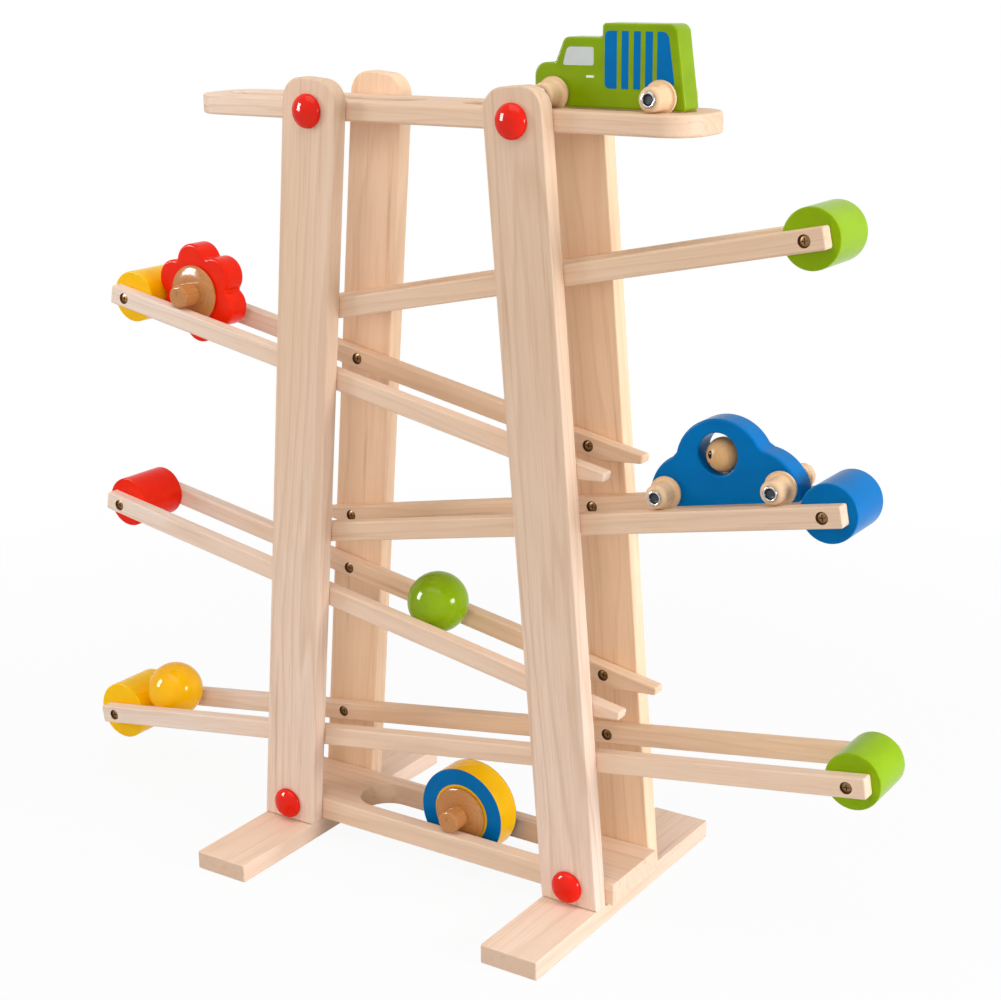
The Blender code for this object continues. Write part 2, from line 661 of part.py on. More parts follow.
ball_up = rail_top - EDGE + sqrt((BALL_R + EDGE + GAP) ** 2 - (RAIL_IN + EDGE) ** 2)
green_rig, green_tilt = track_frames[1]
ball("green_ball", PAINTS["green"], green_rig, GREEN_BALL_X / cos(green_tilt))
yellow_rig, yellow_tilt = track_frames[0]
stop_s = -TRACK_REACH[0] / cos(yellow_tilt)
ball("yellow_ball", PAINTS["yellow"], yellow_rig, stop_s + sqrt((BALL_R + LOW_BLOCK_R + GAP) ** 2 - ball_up ** 2))
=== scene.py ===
"""Wooden marble run, dressed for its photograph: oiled pine boards, painted blocks, vehicles and rollers.

Frame: metres, +X along the run to the right, +Y to the back, +Z up, the origin on the floor.
"""
from math import atan, cos, pi, radians, sin, sqrt, tan

import bmesh
import bpy
from mathutils import Matrix, Vector


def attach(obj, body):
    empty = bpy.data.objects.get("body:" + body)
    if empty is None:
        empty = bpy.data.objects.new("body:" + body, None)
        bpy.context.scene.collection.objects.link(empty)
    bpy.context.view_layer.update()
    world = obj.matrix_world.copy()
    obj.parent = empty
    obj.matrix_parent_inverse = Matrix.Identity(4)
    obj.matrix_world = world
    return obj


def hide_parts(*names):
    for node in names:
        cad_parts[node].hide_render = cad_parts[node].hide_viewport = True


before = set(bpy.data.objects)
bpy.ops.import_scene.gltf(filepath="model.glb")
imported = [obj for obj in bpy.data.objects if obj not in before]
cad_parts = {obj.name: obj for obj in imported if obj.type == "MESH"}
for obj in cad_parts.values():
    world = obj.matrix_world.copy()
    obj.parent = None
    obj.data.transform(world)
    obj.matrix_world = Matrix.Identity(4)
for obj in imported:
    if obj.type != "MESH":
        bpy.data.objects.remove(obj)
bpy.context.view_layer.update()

# Sizes shared with the frame
GAP = 0.0003
EDGE = 0.002
SAWN_EDGE = 0.001
SAWN_CORNER = 0.0016
BOARD_WIDE = 0.046
BOARD_THICK = 0.014
FOOT_LONG = 0.254
FOOT_X = 0.1295
STAND_TOP = 0.590
UPRIGHT_TOP_X = 0.0824
TOP_ROUND = 0.016
HALF_BAY = 0.0322
DECK_Z = 0.5585
DECK_THICK = 0.0143
DECK_HALF = 0.2063
DECK_CORNER = 0.024
DECK_SLOT_HALF = 0.0137
DECK_HALF_WEB = 0.019
DECK_END_WALL = 0.0153
PLANK_HALF = 0.1585
PLANK_THICK = 0.0172
PLANK_SLOT_LEFT = -0.0866
PLANK_SLOT_RIGHT = 0.104
PLANK_SLOT_HALF = 0.0205
CAP_R = 0.0120
CAP_HIGH = 0.0078
CAP_LIP = 0.0008
CAP_LOW_Z = 0.0282
CAP_HIGH_Z = DECK_Z + 0.52 * DECK_THICK
SHANK_R = 0.002
SHANK_LONG = 0.030
TRACK_LOW = 0.1011
TRACK_STEP = 0.0851
TRACK_DEGREES = (8.52, 10.17, 10.76, 11.17, 11.92)
TRACK_REACH = (0.3295, 0.3066, 0.3045, 0.2865, 0.2850)
LOW_OVERHANG = (0.0, 0.020, 0.007, 0.020, 0.007)
TRACK_COLOURS = ("green", "red", "blue", "yellow", "green")
RAIL_HIGH = 0.0145
RAIL_THICK = 0.0105
RAIL_PAST_BLOCK = 0.0134
LOW_CUT = 0.032
LOW_NOSE = 0.006
BLOCK_R = 0.020
LOW_BLOCK_R = 0.024
BODY_HALF = 0.0094
BODY_EDGE = 0.0016
SIDE_PLAY = 0.0035
WHEEL_PLAY = 0.0008
FLANGE_LONG = 0.0026
FLANGE_R = 0.0114
TREAD_R = 0.0083
AXLE_R = 0.0036
RIM_R = 0.0052
RIM_THICK = 0.0012
WHEEL_ROUND = 0.0030
FLANGE_ROUND = 0.0009
FLANGE_FILLET = 0.0022
TRUCK_NOSE_X = 0.0786
TRUCK_LONG = 0.1127
TRUCK_HIGH = 0.0538
TRUCK_LIFT = 0.0004
TRUCK_HOOD = 0.0283
TRUCK_ROOF = 0.0448
TRUCK_SCREEN_X = 0.0156
TRUCK_SCREEN_RAKE = 0.0070
TRUCK_BED_X = 0.0510
TRUCK_TAIL_SLANT = 0.0075
TRUCK_AXLES = (0.0157, 0.0954)
CAR_FROM_BLOCK = 0.0788
CAR_AXLES = (-0.0416, 0.0434)
CAR_DROP = 0.0020
CAR_CORNER = 0.0030
CABIN_R = 0.0326
CABIN_UP = 0.0237
FENDER_R = 0.0314
FENDER_OUT = 0.0240
FENDER_UP = 0.0027
WINDOW_R = 0.0143
WINDOW_UP = 0.0324
HEAD_R = 0.0118
NECK_R = 0.0030
NECK_LONG = 0.007
HUB_R = 0.0218
HUB_DOME = 0.0048
HUB_RIM = 0.0016
NUB_R = 0.0088
NUB_ROUND = 0.0024
NUB_PLAY = 0.0022
DOWEL_R = 0.004
HUB_WALL = 0.006
FLOWER_HALF = 0.0095
PETALS = 6
PETAL_R = 0.0149
PETAL_OUT = 0.0233
FLOWER_FROM_BLOCK = 0.0514
FLOWER_TURN = radians(47.5)
DISC_R = 0.036
DISC_HALF = 0.0112
DISC_RIM = 0.0012
DISC_X = 0.0126
BALL_R = 0.0231
GREEN_BALL_X = -0.0160

# Edges, screws, rivets, paint and the driver's face
FILM = 0.00012
CRISP_EDGE = 0.0013
CRISP_CORNER = 0.0017
BLOCK_EDGE = 0.0011
DOWEL_EDGE = 0.0006
HUB_EDGE = 0.0006
BALL_FLAT = 0.0016
RING_R = 0.0236
SCREW_HOLE_R = 0.0043
SCREW_HOLE_DEEP = 0.0055
SCREW_SUNK = 0.0014
SCREW_PROFILE = ((0.0, 0.0006), (0.0016, 0.0005), (0.0032, 0.0002), (0.0042, -0.0003), (0.0042, -0.0006),
                 (0.0016, -0.0026), (0.0, -0.0026))
CROSS_LONG = 0.0042
CROSS_WIDE = 0.0009
CROSS_DEEP = 0.0022
MOUTH_R = 0.0036
MOUTH_DEEP = 0.0024
MOUTH_FLOOR_R = 0.0030
MOUTH_NECK_R = 0.0034
MOUTH_NECK_DEEP = 0.0010
DISH_LIFT = 0.0003
DISH_PROFILE = ((0.0, 0.0), (0.0022, 0.0), (0.0028, 0.0004), (0.0031, 0.0011), (0.0031, -0.0001),
                (0.0, -0.0002))
TRUCK_CORNER = 0.0026
HOOD_CORNER = 0.0085
ROOF_CORNER = 0.005
TAIL_CORNER = 0.006
NECK_JOIN = 0.966
EYE_SUNK = 0.0002
EYE_SHAPE = (1.0, 0.85, 1.2, 1.0)
EYE_PROFILE = ((0.0, 0.0007), (0.0010, 0.0006), (0.0019, 0.0003), (0.0023, -0.0001), (0.0023, -0.0006),
               (0.0, -0.0007))
GLINT_ASIDE = 0.0005
GLINT_UP = 0.0009
GLINT_OUT = 0.0004
GLINT_PROFILE = ((0.0, 0.0003), (0.0003, 0.0002), (0.00045, -0.0001), (0.0, -0.0002))
SMILE_R = 0.00035
SMILE_SUNK = 0.0001

# Degrees: what arcs leave off where they meet, how far the ring wraps the disc's rim, the face on the head
FENDER_SHORT = 5
CABIN_SHORT = 4
PETAL_SHORT = 5
RING_WRAP = 65.0
FACE_TURN = 40.0
EYE_TURN = 25.0
EYE_LIFT = 11.0
SMILE_TURN = 14.0
SMILE_LOW = -24.0
SMILE_LIFT = 7.0

# Steps along curves, and what counts as one point, as flat or as on the axis
CROWN_STEPS = 16
HEAD_STEPS = 28
HUB_STEPS = 12
RING_STEPS = 8
BALL_STEPS = 40
SMILE_STEPS = 16
WELD = 0.000003
FLAT_ANGLE = 0.001
ON_AXIS = 1e-7
SIDE_SHARE = 0.49

DECK_TOP = DECK_Z + DECK_THICK
PLANK_Z = BOARD_THICK + GAP
PLANK_TOP = PLANK_Z + PLANK_THICK
RAIL_OUT = HALF_BAY - GAP
RAIL_IN = RAIL_OUT - RAIL_THICK
RAIL_Y = (RAIL_OUT + RAIL_IN) / 2
RAIL_TOP = RAIL_HIGH / 2
AXLE_HALF = HALF_BAY - SIDE_PLAY
WHEEL_IN = BODY_HALF + WHEEL_PLAY
WHEEL_LONG = AXLE_HALF - RIM_THICK - GAP - WHEEL_IN
NUB_END = HALF_BAY - NUB_PLAY
LEAN = atan((FOOT_X - UPRIGHT_TOP_X) / (STAND_TOP - BOARD_THICK))

X_AXIS = Vector((1.0, 0.0, 0.0))
Y_AXIS = Vector((0.0, 1.0, 0.0))
Z_AXIS = Vector((0.0, 0.0, 1.0))
ROWS = ((-1, "front"), (1, "rear"))
FACES = ((-1, "near"), (1, "far"))

# Finishes: noise in cycles per metre along, across and through the grain, relief in metres
WOOD_FIBRE = (22.0, 900.0, 900.0)
WOOD_THREAD = (5.0, 170.0, 170.0)
WOOD_PATCH = (3.2, 30.0, 30.0)
BAND_STRETCH = (0.06, 1.0, 1.0)
BAND_BEND = 0.034
WOOD_SPECULAR = 0.12
WAX_ROUGH = 0.10
PAINT_FIBRE = (30.0, 520.0, 520.0)
PAINT_PATCH = (34.0, 60.0, 60.0)
GLOSS_IOR = 1.5
GLOSS_ROUGH = 0.06
METAL_MARKS = (900.0, 500.0, 500.0)
GRAIN_RELIEF = 0.00025
MARK_RELIEF = 0.0001

# Wood tones as on screen: pale, darker and late wood, or a paler tone with the places along X where it begins
# and where it is full
FOOT_TONES = ((240, 214, 193), (220, 187, 159), (192, 155, 128))
FOOT_END_GRAIN = 0.40
# The rear uprights' tones are lighter and warmer than the front ones: painted light that lifts the shade they
# stand in behind the front row
BOARD_TONES = {
    "front_left": ((233, 203, 176), (213, 173, 141)),
    "front_right": ((227, 198, 171), (207, 169, 138)),
    "rear_left": ((250, 218, 186), (232, 191, 154)),
    "rear_right": ((250, 216, 181), (232, 188, 149)),
}
# Paler tone towards each upright's foot: a painted reflection of the white floor on the low part of the
# boards
BOARD_FLOOR_REFLECTION = {"front": ((242, 216, 197), 0.42, 0.02), "rear": ((250, 217, 183), 0.42, 0.02)}
DECK_PALER = ((244, 218, 196), -0.04, -0.17)
# Base plank: lighter tones, painted light that lifts the shade under the stand
PLANK_LIFTED_TONES = ((241, 212, 187), (222, 186, 154))
PALER_RAIL = ((239, 211, 187), (219, 182, 152))
PLAIN_RAIL = ((233, 203, 176), (213, 173, 141))
RAIL_TONES = (PALER_RAIL, PALER_RAIL, PLAIN_RAIL, PALER_RAIL, PLAIN_RAIL)
# Rear rails: a warmer, slightly lighter tone, painted light standing in for the warm light between the boards
# where they sit in shade
REAR_RAIL_LIT_TONES = ((242, 211, 180), (223, 183, 148))
RAIL_PALER = ((243, 221, 204), -0.08, -0.26)


def linear(red, green, blue):
    """A colour given as it looks on screen, 0 to 255."""
    parts = [c / 255 for c in (red, green, blue)]
    return (*[c / 12.92 if c < 0.04045 else ((c + 0.055) / 1.055) ** 2.4 for c in parts], 1.0)


def node(tree, kind, **values):
    """A shader node with its settings and its unlinked inputs."""
    made = tree.nodes.new("ShaderNode" + kind)
    for key, value in values.items():
        if hasattr(made, key):
            setattr(made, key, value)
        else:
            made.inputs[key.replace("_", " ")].default_value = value
    return made


def blank(name):
    """A material with a coordinate source, and its shader."""
    made = bpy.data.materials.new(name)
    made.use_nodes = True
    tree = made.node_tree
    return made, tree, tree.nodes["Principled BSDF"], node(tree, "TexCoord").outputs["Object"]


def stretched(tree, coords, scale, shift, detail=2.0, rough=0.5):
    """Noise stretched along the grain; the scale is cycles per metre along, across and through."""
    place = node(tree, "Mapping", Scale=scale, Location=shift)
    tree.links.new(coords, place.inputs["Vector"])
    noise = node(tree, "TexNoise", Scale=1.0, Detail=detail, Roughness=rough)
    tree.links.new(place.outputs["Vector"], noise.inputs["Vector"])
    return noise.outputs["Fac"]


def graded(tree, source, low, high, bottom=0.0, top=1.0):
    """A value moved from one range to another, and held there."""
    made = node(tree, "MapRange", From_Min=low, From_Max=high, To_Min=bottom, To_Max=top)
    tree.links.new(source, made.inputs["Value"])
    return made.outputs["Result"]


def mixed(tree, factor, first, second):
    """One colour over another by a factor; each is a colour or a socket."""
    made = node(tree, "Mix", data_type="RGBA")
    tree.links.new(factor, made.inputs["Factor"])
    ends = [s for s in made.inputs if s.type == "RGBA"]
    for socket, value in zip(ends, (first, second)):
        if isinstance(value, tuple):
            socket.default_value = value
        else:
            tree.links.new(value, socket)
    return [s for s in made.outputs if s.type == "RGBA"][0]


def seen_directly(tree):
    """1 where a camera, mirror or glass ray looks at the background, and 0 where it lights the object."""
    rays = node(tree, "LightPath")
    total = rays.outputs["Is Camera Ray"]
    for kind in ("Is Glossy Ray", "Is Transmission Ray"):
        either = node(tree, "Math", operation="MAXIMUM")
        tree.links.new(total, either.inputs[0])
        tree.links.new(rays.outputs[kind], either.inputs[1])
        total = either.outputs[0]
    return total


def bumped(tree, shader, height, strength, distance):
    """Raises the surface by a value."""
    bump = node(tree, "Bump", Strength=strength, Distance=distance)
    tree.links.new(height, bump.inputs["Height"])
    tree.links.new(bump.outputs["Normal"], shader.inputs["Normal"])


def wood(name, seed, pale=(234, 203, 176), dark=(214, 173, 141), late=(190, 141, 106), ring=0.0085,
         rough=0.48, coat=0.0, paler=None, end_grain=0.0):
    """Straight-grained wood, grain along the piece's own X: growth bands, fine fibres and a few dark streaks.

    ring is a growth band's width, and end_grain how far the cut ends turn to the late wood's colour.
    """
    made, tree, shader, coords = blank(name)
    shift = (seed * 1.37, seed * 3.11, seed * 2.23)
    fibre = stretched(tree, coords, WOOD_FIBRE, shift, 3.0, 0.65)
    thread = stretched(tree, coords, WOOD_THREAD, shift, 3.0, 0.6)
    patch = stretched(tree, coords, WOOD_PATCH, shift, 2.0)
    pith = node(tree, "Mapping", Scale=BAND_STRETCH,
                Location=(0.0, 0.020 + 0.034 * sin(seed * 2.1), 0.034 + 0.014 * cos(seed * 1.7)))
    tree.links.new(coords, pith.inputs["Vector"])
    away = node(tree, "VectorMath", operation="LENGTH")
    tree.links.new(pith.outputs["Vector"], away.inputs[0])
    warp = node(tree, "Math", operation="MULTIPLY_ADD")
    warp.inputs[1].default_value = BAND_BEND
    tree.links.new(patch, warp.inputs[0])
    tree.links.new(away.outputs["Value"], warp.inputs[2])
    count = node(tree, "Math", operation="DIVIDE")
    count.inputs[1].default_value = ring
    tree.links.new(warp.outputs[0], count.inputs[0])
    turn = node(tree, "Math", operation="FRACT")
    tree.links.new(count.outputs[0], turn.inputs[0])
    growth = node(tree, "ValToRGB")
    growth.color_ramp.interpolation = "EASE"
    growth.color_ramp.elements[0].color = (0.0, 0.0, 0.0, 1.0)
    growth.color_ramp.elements[1].color = (0.05, 0.05, 0.05, 1.0)
    growth.color_ramp.elements.new(0.60).color = (0.25, 0.25, 0.25, 1.0)
    growth.color_ramp.elements.new(0.84).color = (1.0, 1.0, 1.0, 1.0)
    tree.links.new(turn.outputs[0], growth.inputs["Fac"])
    rings = growth.outputs["Color"]
    tone = mixed(tree, graded(tree, patch, 0.3, 0.7), linear(*pale),
                 linear(pale[0] - 3, pale[1] - 8, pale[2] - 14))
    if paler:
        along = node(tree, "SeparateXYZ")
        tree.links.new(coords, along.inputs[0])
        tone = mixed(tree, graded(tree, along.outputs["X"], paler[1], paler[2]), tone, linear(*paler[0]))
    if end_grain:
        facing = node(tree, "SeparateXYZ")
        tree.links.new(node(tree, "TexCoord").outputs["Normal"], facing.inputs[0])
        ends = node(tree, "Math", operation="ABSOLUTE")
        tree.links.new(facing.outputs["X"], ends.inputs[0])
        tone = mixed(tree, graded(tree, ends.outputs[0], 0.7, 0.95, 0.0, end_grain), tone, linear(*late))
    tone = mixed(tree, graded(tree, rings, 0.0, 1.0, 0.0, 0.42), tone, linear(*dark))
    tone = mixed(tree, graded(tree, fibre, 0.42, 0.78, 0.0, 0.46), tone, linear(*dark))
    tone = mixed(tree, graded(tree, thread, 0.60, 0.78, 0.0, 0.55), tone, linear(*late))
    tree.links.new(tone, shader.inputs["Base Color"])
    tree.links.new(graded(tree, fibre, 0.2, 0.8, rough - 0.06, rough + 0.10), shader.inputs["Roughness"])
    shader.inputs["Specular IOR Level"].default_value = WOOD_SPECULAR
    shader.inputs["Coat Weight"].default_value = coat
    shader.inputs["Coat Roughness"].default_value = WAX_ROUGH
    bumped(tree, shader, fibre, 0.14, GRAIN_RELIEF)
    return made


def paint(name, colour, shade, rough=0.22, seed=1.0, grain=0.035, coat=0.04, specular=0.08):
    """Sprayed paint on wood: satin gloss, a little grain telegraphing through, slightly uneven tone."""
    made, tree, shader, coords = blank(name)
    shift = (seed * 2.3, seed * 1.1, seed * 4.7)
    fibre = stretched(tree, coords, PAINT_FIBRE, shift, 3.0, 0.6)
    patch = stretched(tree, coords, PAINT_PATCH, shift, 2.0)
    tone = mixed(tree, graded(tree, patch, 0.35, 0.75), linear(*colour), linear(*shade))
    tree.links.new(tone, shader.inputs["Base Color"])
    tree.links.new(graded(tree, fibre, 0.25, 0.75, rough - 0.02, rough + 0.04), shader.inputs["Roughness"])
    shader.inputs["Specular IOR Level"].default_value = specular
    shader.inputs["Coat Weight"].default_value = coat
    shader.inputs["Coat IOR"].default_value = GLOSS_IOR
    shader.inputs["Coat Roughness"].default_value = GLOSS_ROUGH
    bumped(tree, shader, fibre, grain, GRAIN_RELIEF)
    return made


def metal(name, colour, rough, seed, metallic=1.0):
    """Plated metal with fine handling marks."""
    made, tree, shader, coords = blank(name)
    marks = stretched(tree, coords, METAL_MARKS, (seed, seed, seed), 3.0, 0.6)
    tree.links.new(mixed(tree, graded(tree, marks, 0.35, 0.8, 0.0, 0.5), linear(*colour),
                         linear(*[c * 0.72 for c in colour])), shader.inputs["Base Color"])
    tree.links.new(graded(tree, marks, 0.3, 0.8, rough, rough + 0.14), shader.inputs["Roughness"])
    shader.inputs["Metallic"].default_value = metallic
    bumped(tree, shader, marks, 0.05, MARK_RELIEF)
    return made


BALL_GLOSS = {"rough": 0.16, "grain": 0.004, "coat": 0.36, "specular": 0.02}
CAP_GLOSS = {"rough": 0.14, "grain": 0.0, "coat": 0.36, "specular": 0.02}
PAINTS = {
    "red": paint("red_finish", (246, 40, 5), (238, 30, 3), seed=2.0),
    "green": paint("green_finish", (141, 177, 5), (132, 167, 4), seed=3.0),
    "green_gloss": paint("green_ball_finish", (133, 166, 4), (125, 157, 3), seed=3.2, **BALL_GLOSS),
    "yellow_gloss": paint("yellow_ball_finish", (252, 188, 2), (248, 178, 2), seed=4.2, **BALL_GLOSS),
    "truck_green": paint("truck_finish", (134, 166, 4), (126, 155, 3), seed=3.5),
    "yellow": paint("yellow_finish", (255, 201, 4), (253, 191, 3), seed=4.0),
    "blue": paint("blue_finish", (1, 113, 181), (1, 106, 171), seed=5.0, coat=0.0, specular=0.05),
    "cap": paint("cap_finish", (232, 32, 3), (222, 20, 2), seed=6.0, **CAP_GLOSS),
    "window": paint("window_finish", (206, 213, 212), (198, 205, 204), rough=0.35, seed=7.0),
    "white": paint("handle_finish", (240, 242, 236), (232, 234, 228), rough=0.35, seed=8.0),
    "ink": paint("face_ink", (18, 14, 12), (12, 10, 9), rough=0.25, seed=9.0, grain=0.02),
}
CHROME = metal("rivet_finish", (186, 185, 183), rough=0.12, seed=3.0)
# A dark grey metal disc at the bottom of each rivet's mouth: painted shade in the hollow
HOLLOW_SHADE = metal("rivet_hollow_painted_shade", (62, 64, 70), rough=0.28, seed=4.0, metallic=0.55)
SCREW_BRONZE = metal("screw_finish", (140, 106, 68), rough=0.30, seed=5.0, metallic=0.7)
# Walls of the screw holes: cut wood a little darker than the faces, and much darker still as painted shade in
# the recess
BORE_WALL_SHADED = wood("bore_wall_grain_and_shade", 41.0, (120, 80, 50), (92, 58, 34), (70, 44, 26), rough=0.7)
HEAD_GRAIN = wood("head_grain", 53.0, (216, 174, 126), (196, 150, 100), (168, 120, 74),
                  ring=0.0034, rough=0.34, coat=0.08)
WHEEL_GRAIN = wood("wheel_grain", 51.0, (234, 202, 166), (217, 178, 137), (194, 146, 100),
                   ring=0.0034, rough=0.36)
WAXED_GRAIN = wood("waxed_grain", 57.0, (200, 140, 84), (176, 114, 62), (146, 88, 44),
                   ring=0.0030, rough=0.20, coat=0.35)


def arc(centre, radius, start, end, count):
    """Points on an arc, ends included; angles in degrees."""
    angles = [radians(start + (end - start) * k / count) for k in range(count + 1)]
    return [(centre[0] + radius * cos(a), centre[1] + radius * sin(a)) for a in angles]


def rounded(corners, steps=8):
    """A closed outline whose corners, given as (x, y, radius), are rounded."""
    points = []
    for k, (x, y, radius) in enumerate(corners):
        here = Vector((x, y))
        back = (Vector(corners[k - 1][:2]) - here).normalized()
        ahead = (Vector(corners[(k + 1) % len(corners)][:2]) - here).normalized()
        half = back.angle(ahead) / 2
        centre = here + (back + ahead).normalized() * (radius / sin(half))
        start = here + back * (radius / tan(half)) - centre
        way = 1 if back.x * ahead.y - back.y * ahead.x < 0 else -1
        for j in range(steps + 1):
            turn = way * (pi - 2 * half) * j / steps
            points.append((centre.x + start.x * cos(turn) - start.y * sin(turn),
                           centre.y + start.x * sin(turn) + start.y * cos(turn)))
    return points


def stadium(left, right, radius, count=28):
    """A long hole or board with round ends."""
    return (arc((right - radius, 0.0), radius, -90, 90, count)
            + arc((left + radius, 0.0), radius, 90, 270, count))


def rectangle(half_x, half_y, corner):
    """A board seen from above, with softened corners."""
    return rounded([(-half_x, -half_y, corner), (half_x, -half_y, corner), (half_x, half_y, corner),
                    (-half_x, half_y, corner)], steps=14)


def slab(name, loops, half, rounding=EDGE, fine=3):
    """A flat outline in XY (later loops are holes), thick along Z, with rounded rims."""
    curve = bpy.data.curves.new(name, "CURVE")
    curve.dimensions = "2D"
    curve.fill_mode = "BOTH"
    curve.extrude = half - rounding
    curve.bevel_depth = rounding
    curve.bevel_resolution = fine
    curve.offset = -rounding
    for loop in loops:
        spline = curve.splines.new("POLY")
        spline.points.add(len(loop) - 1)
        for point, (u, v) in zip(spline.points, loop):
            point.co = (u, v, 0.0, 1.0)
        spline.use_cyclic_u = True
    guide = bpy.data.objects.new(name + "_outline", curve)
    bpy.context.scene.collection.objects.link(guide)
    bpy.context.view_layer.update()
    mesh = bpy.data.meshes.new_from_object(guide.evaluated_get(bpy.context.evaluated_depsgraph_get()))
    mesh.name = name
    bpy.data.objects.remove(guide, do_unlink=True)
    shape = bmesh.new()
    shape.from_mesh(mesh)
    bmesh.ops.remove_doubles(shape, verts=shape.verts, dist=WELD)
    bmesh.ops.dissolve_limit(shape, angle_limit=FLAT_ANGLE, verts=shape.verts, edges=shape.edges)
    bmesh.ops.recalc_face_normals(shape, faces=shape.faces)
    shape.to_mesh(mesh)
    shape.free()
    return mesh


def turned(name, profile, steps=56, closed=False):
    """A lathe-turned mesh about X; the profile is (radius, place along X)."""
    shape = bmesh.new()
    rings = []
    for r, h in profile:
        if r < ON_AXIS:
            rings.append([shape.verts.new((h, 0.0, 0.0))])
        else:
            angles = [2 * pi * k / steps for k in range(steps)]
            rings.append([shape.verts.new((h, r * cos(a), r * sin(a))) for a in angles])
    pairs = list(zip(rings, rings[1:]))
    if closed:
        pairs.append((rings[-1], rings[0]))
    for first, second in pairs:
        for k in range(steps):
            j = (k + 1) % steps
            if len(first) == 1 and len(second) > 1:
                shape.faces.new((first[0], second[k], second[j]))
            elif len(second) == 1 and len(first) > 1:
                shape.faces.new((first[k], second[0], first[j]))
            elif len(first) > 1:
                shape.faces.new((first[k], second[k], second[j], first[j]))
    bmesh.ops.recalc_face_normals(shape, faces=shape.faces)
    mesh = bpy.data.meshes.new(name)
    shape.to_mesh(mesh)
    shape.free()
    return mesh


def eased(points, radius, steps=5):
    """A turning profile (r, h) whose inner corners are rounded."""
    out = [points[0]]
    for before, point, after in zip(points, points[1:], points[2:]):
        here = Vector(point)
        back = Vector(before) - here
        ahead = Vector(after) - here
        size = min(radius, SIDE_SHARE * back.length, SIDE_SHARE * ahead.length)
        start = here + back.normalized() * size
        end = here + ahead.normalized() * size
        for j in range(steps + 1):
            t = j / steps
            spot = start * (1 - t) ** 2 + here * 2 * t * (1 - t) + end * t ** 2
            out.append((spot.x, spot.y))
    return out + [points[-1]]


def basis(x_axis, y_axis, z_axis, at):
    """A placing from three axes and an origin."""
    made = Matrix((x_axis, y_axis, z_axis)).transposed().to_4x4()
    made.translation = Vector(at)
    return made


def outward(out, above, at):
    """A placing for a turned piece whose axis looks along out."""
    return basis(out, above.cross(out), above, at)


def side_on(along, above, at):
    """A placing for a slab whose outline is seen from the front."""
    return basis(along, above, -Y_AXIS, at)


def put(name, mesh, matrix, body, finish, stands_for=(), sharp=32.0, flat=False):
    """Shows one piece: smooth shading, its finish, its body and the nodes that it stands for."""
    mesh.shade_smooth()
    mesh.set_sharp_from_angle(angle=radians(sharp))
    if not mesh.materials:
        mesh.materials.append(finish)
    made = bpy.data.objects.new(name, mesh)
    made.matrix_world = matrix
    bpy.context.scene.collection.objects.link(made)
    if flat:
        normals = made.modifiers.new("flat_faces", "WEIGHTED_NORMAL")
        normals.keep_sharp = True
    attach(made, body)
    if stands_for:
        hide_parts(*stands_for)
    return made


def carved(mesh, tool_mesh, **settings):
    """A mesh with another one cut away from it."""
    tool = bpy.data.objects.new("tool", tool_mesh)
    work = bpy.data.objects.new("work", mesh)
    for item in (tool, work):
        bpy.context.scene.collection.objects.link(item)
    cut = work.modifiers.new("cut", "BOOLEAN")
    cut.operation = "DIFFERENCE"
    cut.object = tool
    for key, value in settings.items():
        setattr(cut, key, value)
    bpy.context.view_layer.update()
    made = bpy.data.meshes.new_from_object(work.evaluated_get(bpy.context.evaluated_depsgraph_get()))
    for item in (tool, work):
        bpy.data.objects.remove(item, do_unlink=True)
    return made


def bored(mesh, places, finish, inner):
    """Cuts blind round holes into a slab; a place is (u, v, from, to) along the slab's thickness."""
    shape = bmesh.new()
    for u, v, low, high in places:
        bmesh.ops.create_cone(shape, cap_ends=True, segments=28, radius1=SCREW_HOLE_R, radius2=SCREW_HOLE_R,
                              depth=high - low, matrix=Matrix.Translation((u, v, (low + high) / 2)))
    bits = bpy.data.meshes.new("bore")
    shape.to_mesh(bits)
    shape.free()
    bits.materials.append(inner)
    mesh.materials.append(finish)
    return carved(mesh, bits, material_mode="TRANSFER")


def upright_x(z):
    """Distance of an upright's centre line from the middle at a height."""
    return FOOT_X + (UPRIGHT_TOP_X - FOOT_X) * (z - BOARD_THICK) / (STAND_TOP - BOARD_THICK)


def side_name(side):
    """The word for a side of the stand, -1 or 1."""
    return "right" if side > 0 else "left"


# Feet: grain from front to back
foot_loop = rectangle(FOOT_LONG / 2, BOARD_WIDE / 2, SAWN_CORNER)
for side in (-1, 1):
    name = side_name(side) + "_foot"
    put(name + "_board", slab(name, [foot_loop], BOARD_THICK / 2, SAWN_EDGE),
        basis(Y_AXIS, -X_AXIS, Z_AXIS, (side * FOOT_X, 0.0, BOARD_THICK / 2)), "stand",
        wood(name + "_grain", 3.0 + side, *FOOT_TONES, end_grain=FOOT_END_GRAIN), [name],
        flat=True)

# Uprights: grain along their lean; the rear pair is tinted lighter and warmer as painted light that lifts the
# shade behind the front row, and every board turns paler towards its foot as a painted reflection of the
# white floor
half = BOARD_WIDE / 2
low = BOARD_THICK + GAP
reach = (STAND_TOP - half * sin(LEAN) - low) / cos(LEAN)
upright_loop = ([(half * tan(LEAN), -half)] + [(-half * tan(LEAN), half)]
                + arc((reach - TOP_ROUND, half - TOP_ROUND), TOP_ROUND, 90, 0, 16)
                + arc((reach - TOP_ROUND, TOP_ROUND - half), TOP_ROUND, 0, -90, 16))
for side in (-1, 1):
    for depth, row in ROWS:
        name = row + "_" + side_name(side) + "_upright"
        along = Vector((-side * sin(LEAN), 0.0, cos(LEAN)))
        across = Vector((side * cos(LEAN), 0.0, sin(LEAN)))
        at = (side * upright_x(low), depth * (HALF_BAY + BOARD_THICK / 2), low)
        put(name + "_board", slab(name, [upright_loop], BOARD_THICK / 2, CRISP_EDGE),
            basis(along, across, along.cross(across), at), "stand",
            wood(name + "_grain", 8.0 + 2.3 * side + 5.1 * depth, *BOARD_TONES[row + "_" + side_name(side)],
                 paler=BOARD_FLOOR_REFLECTION[row]), [name], flat=True)

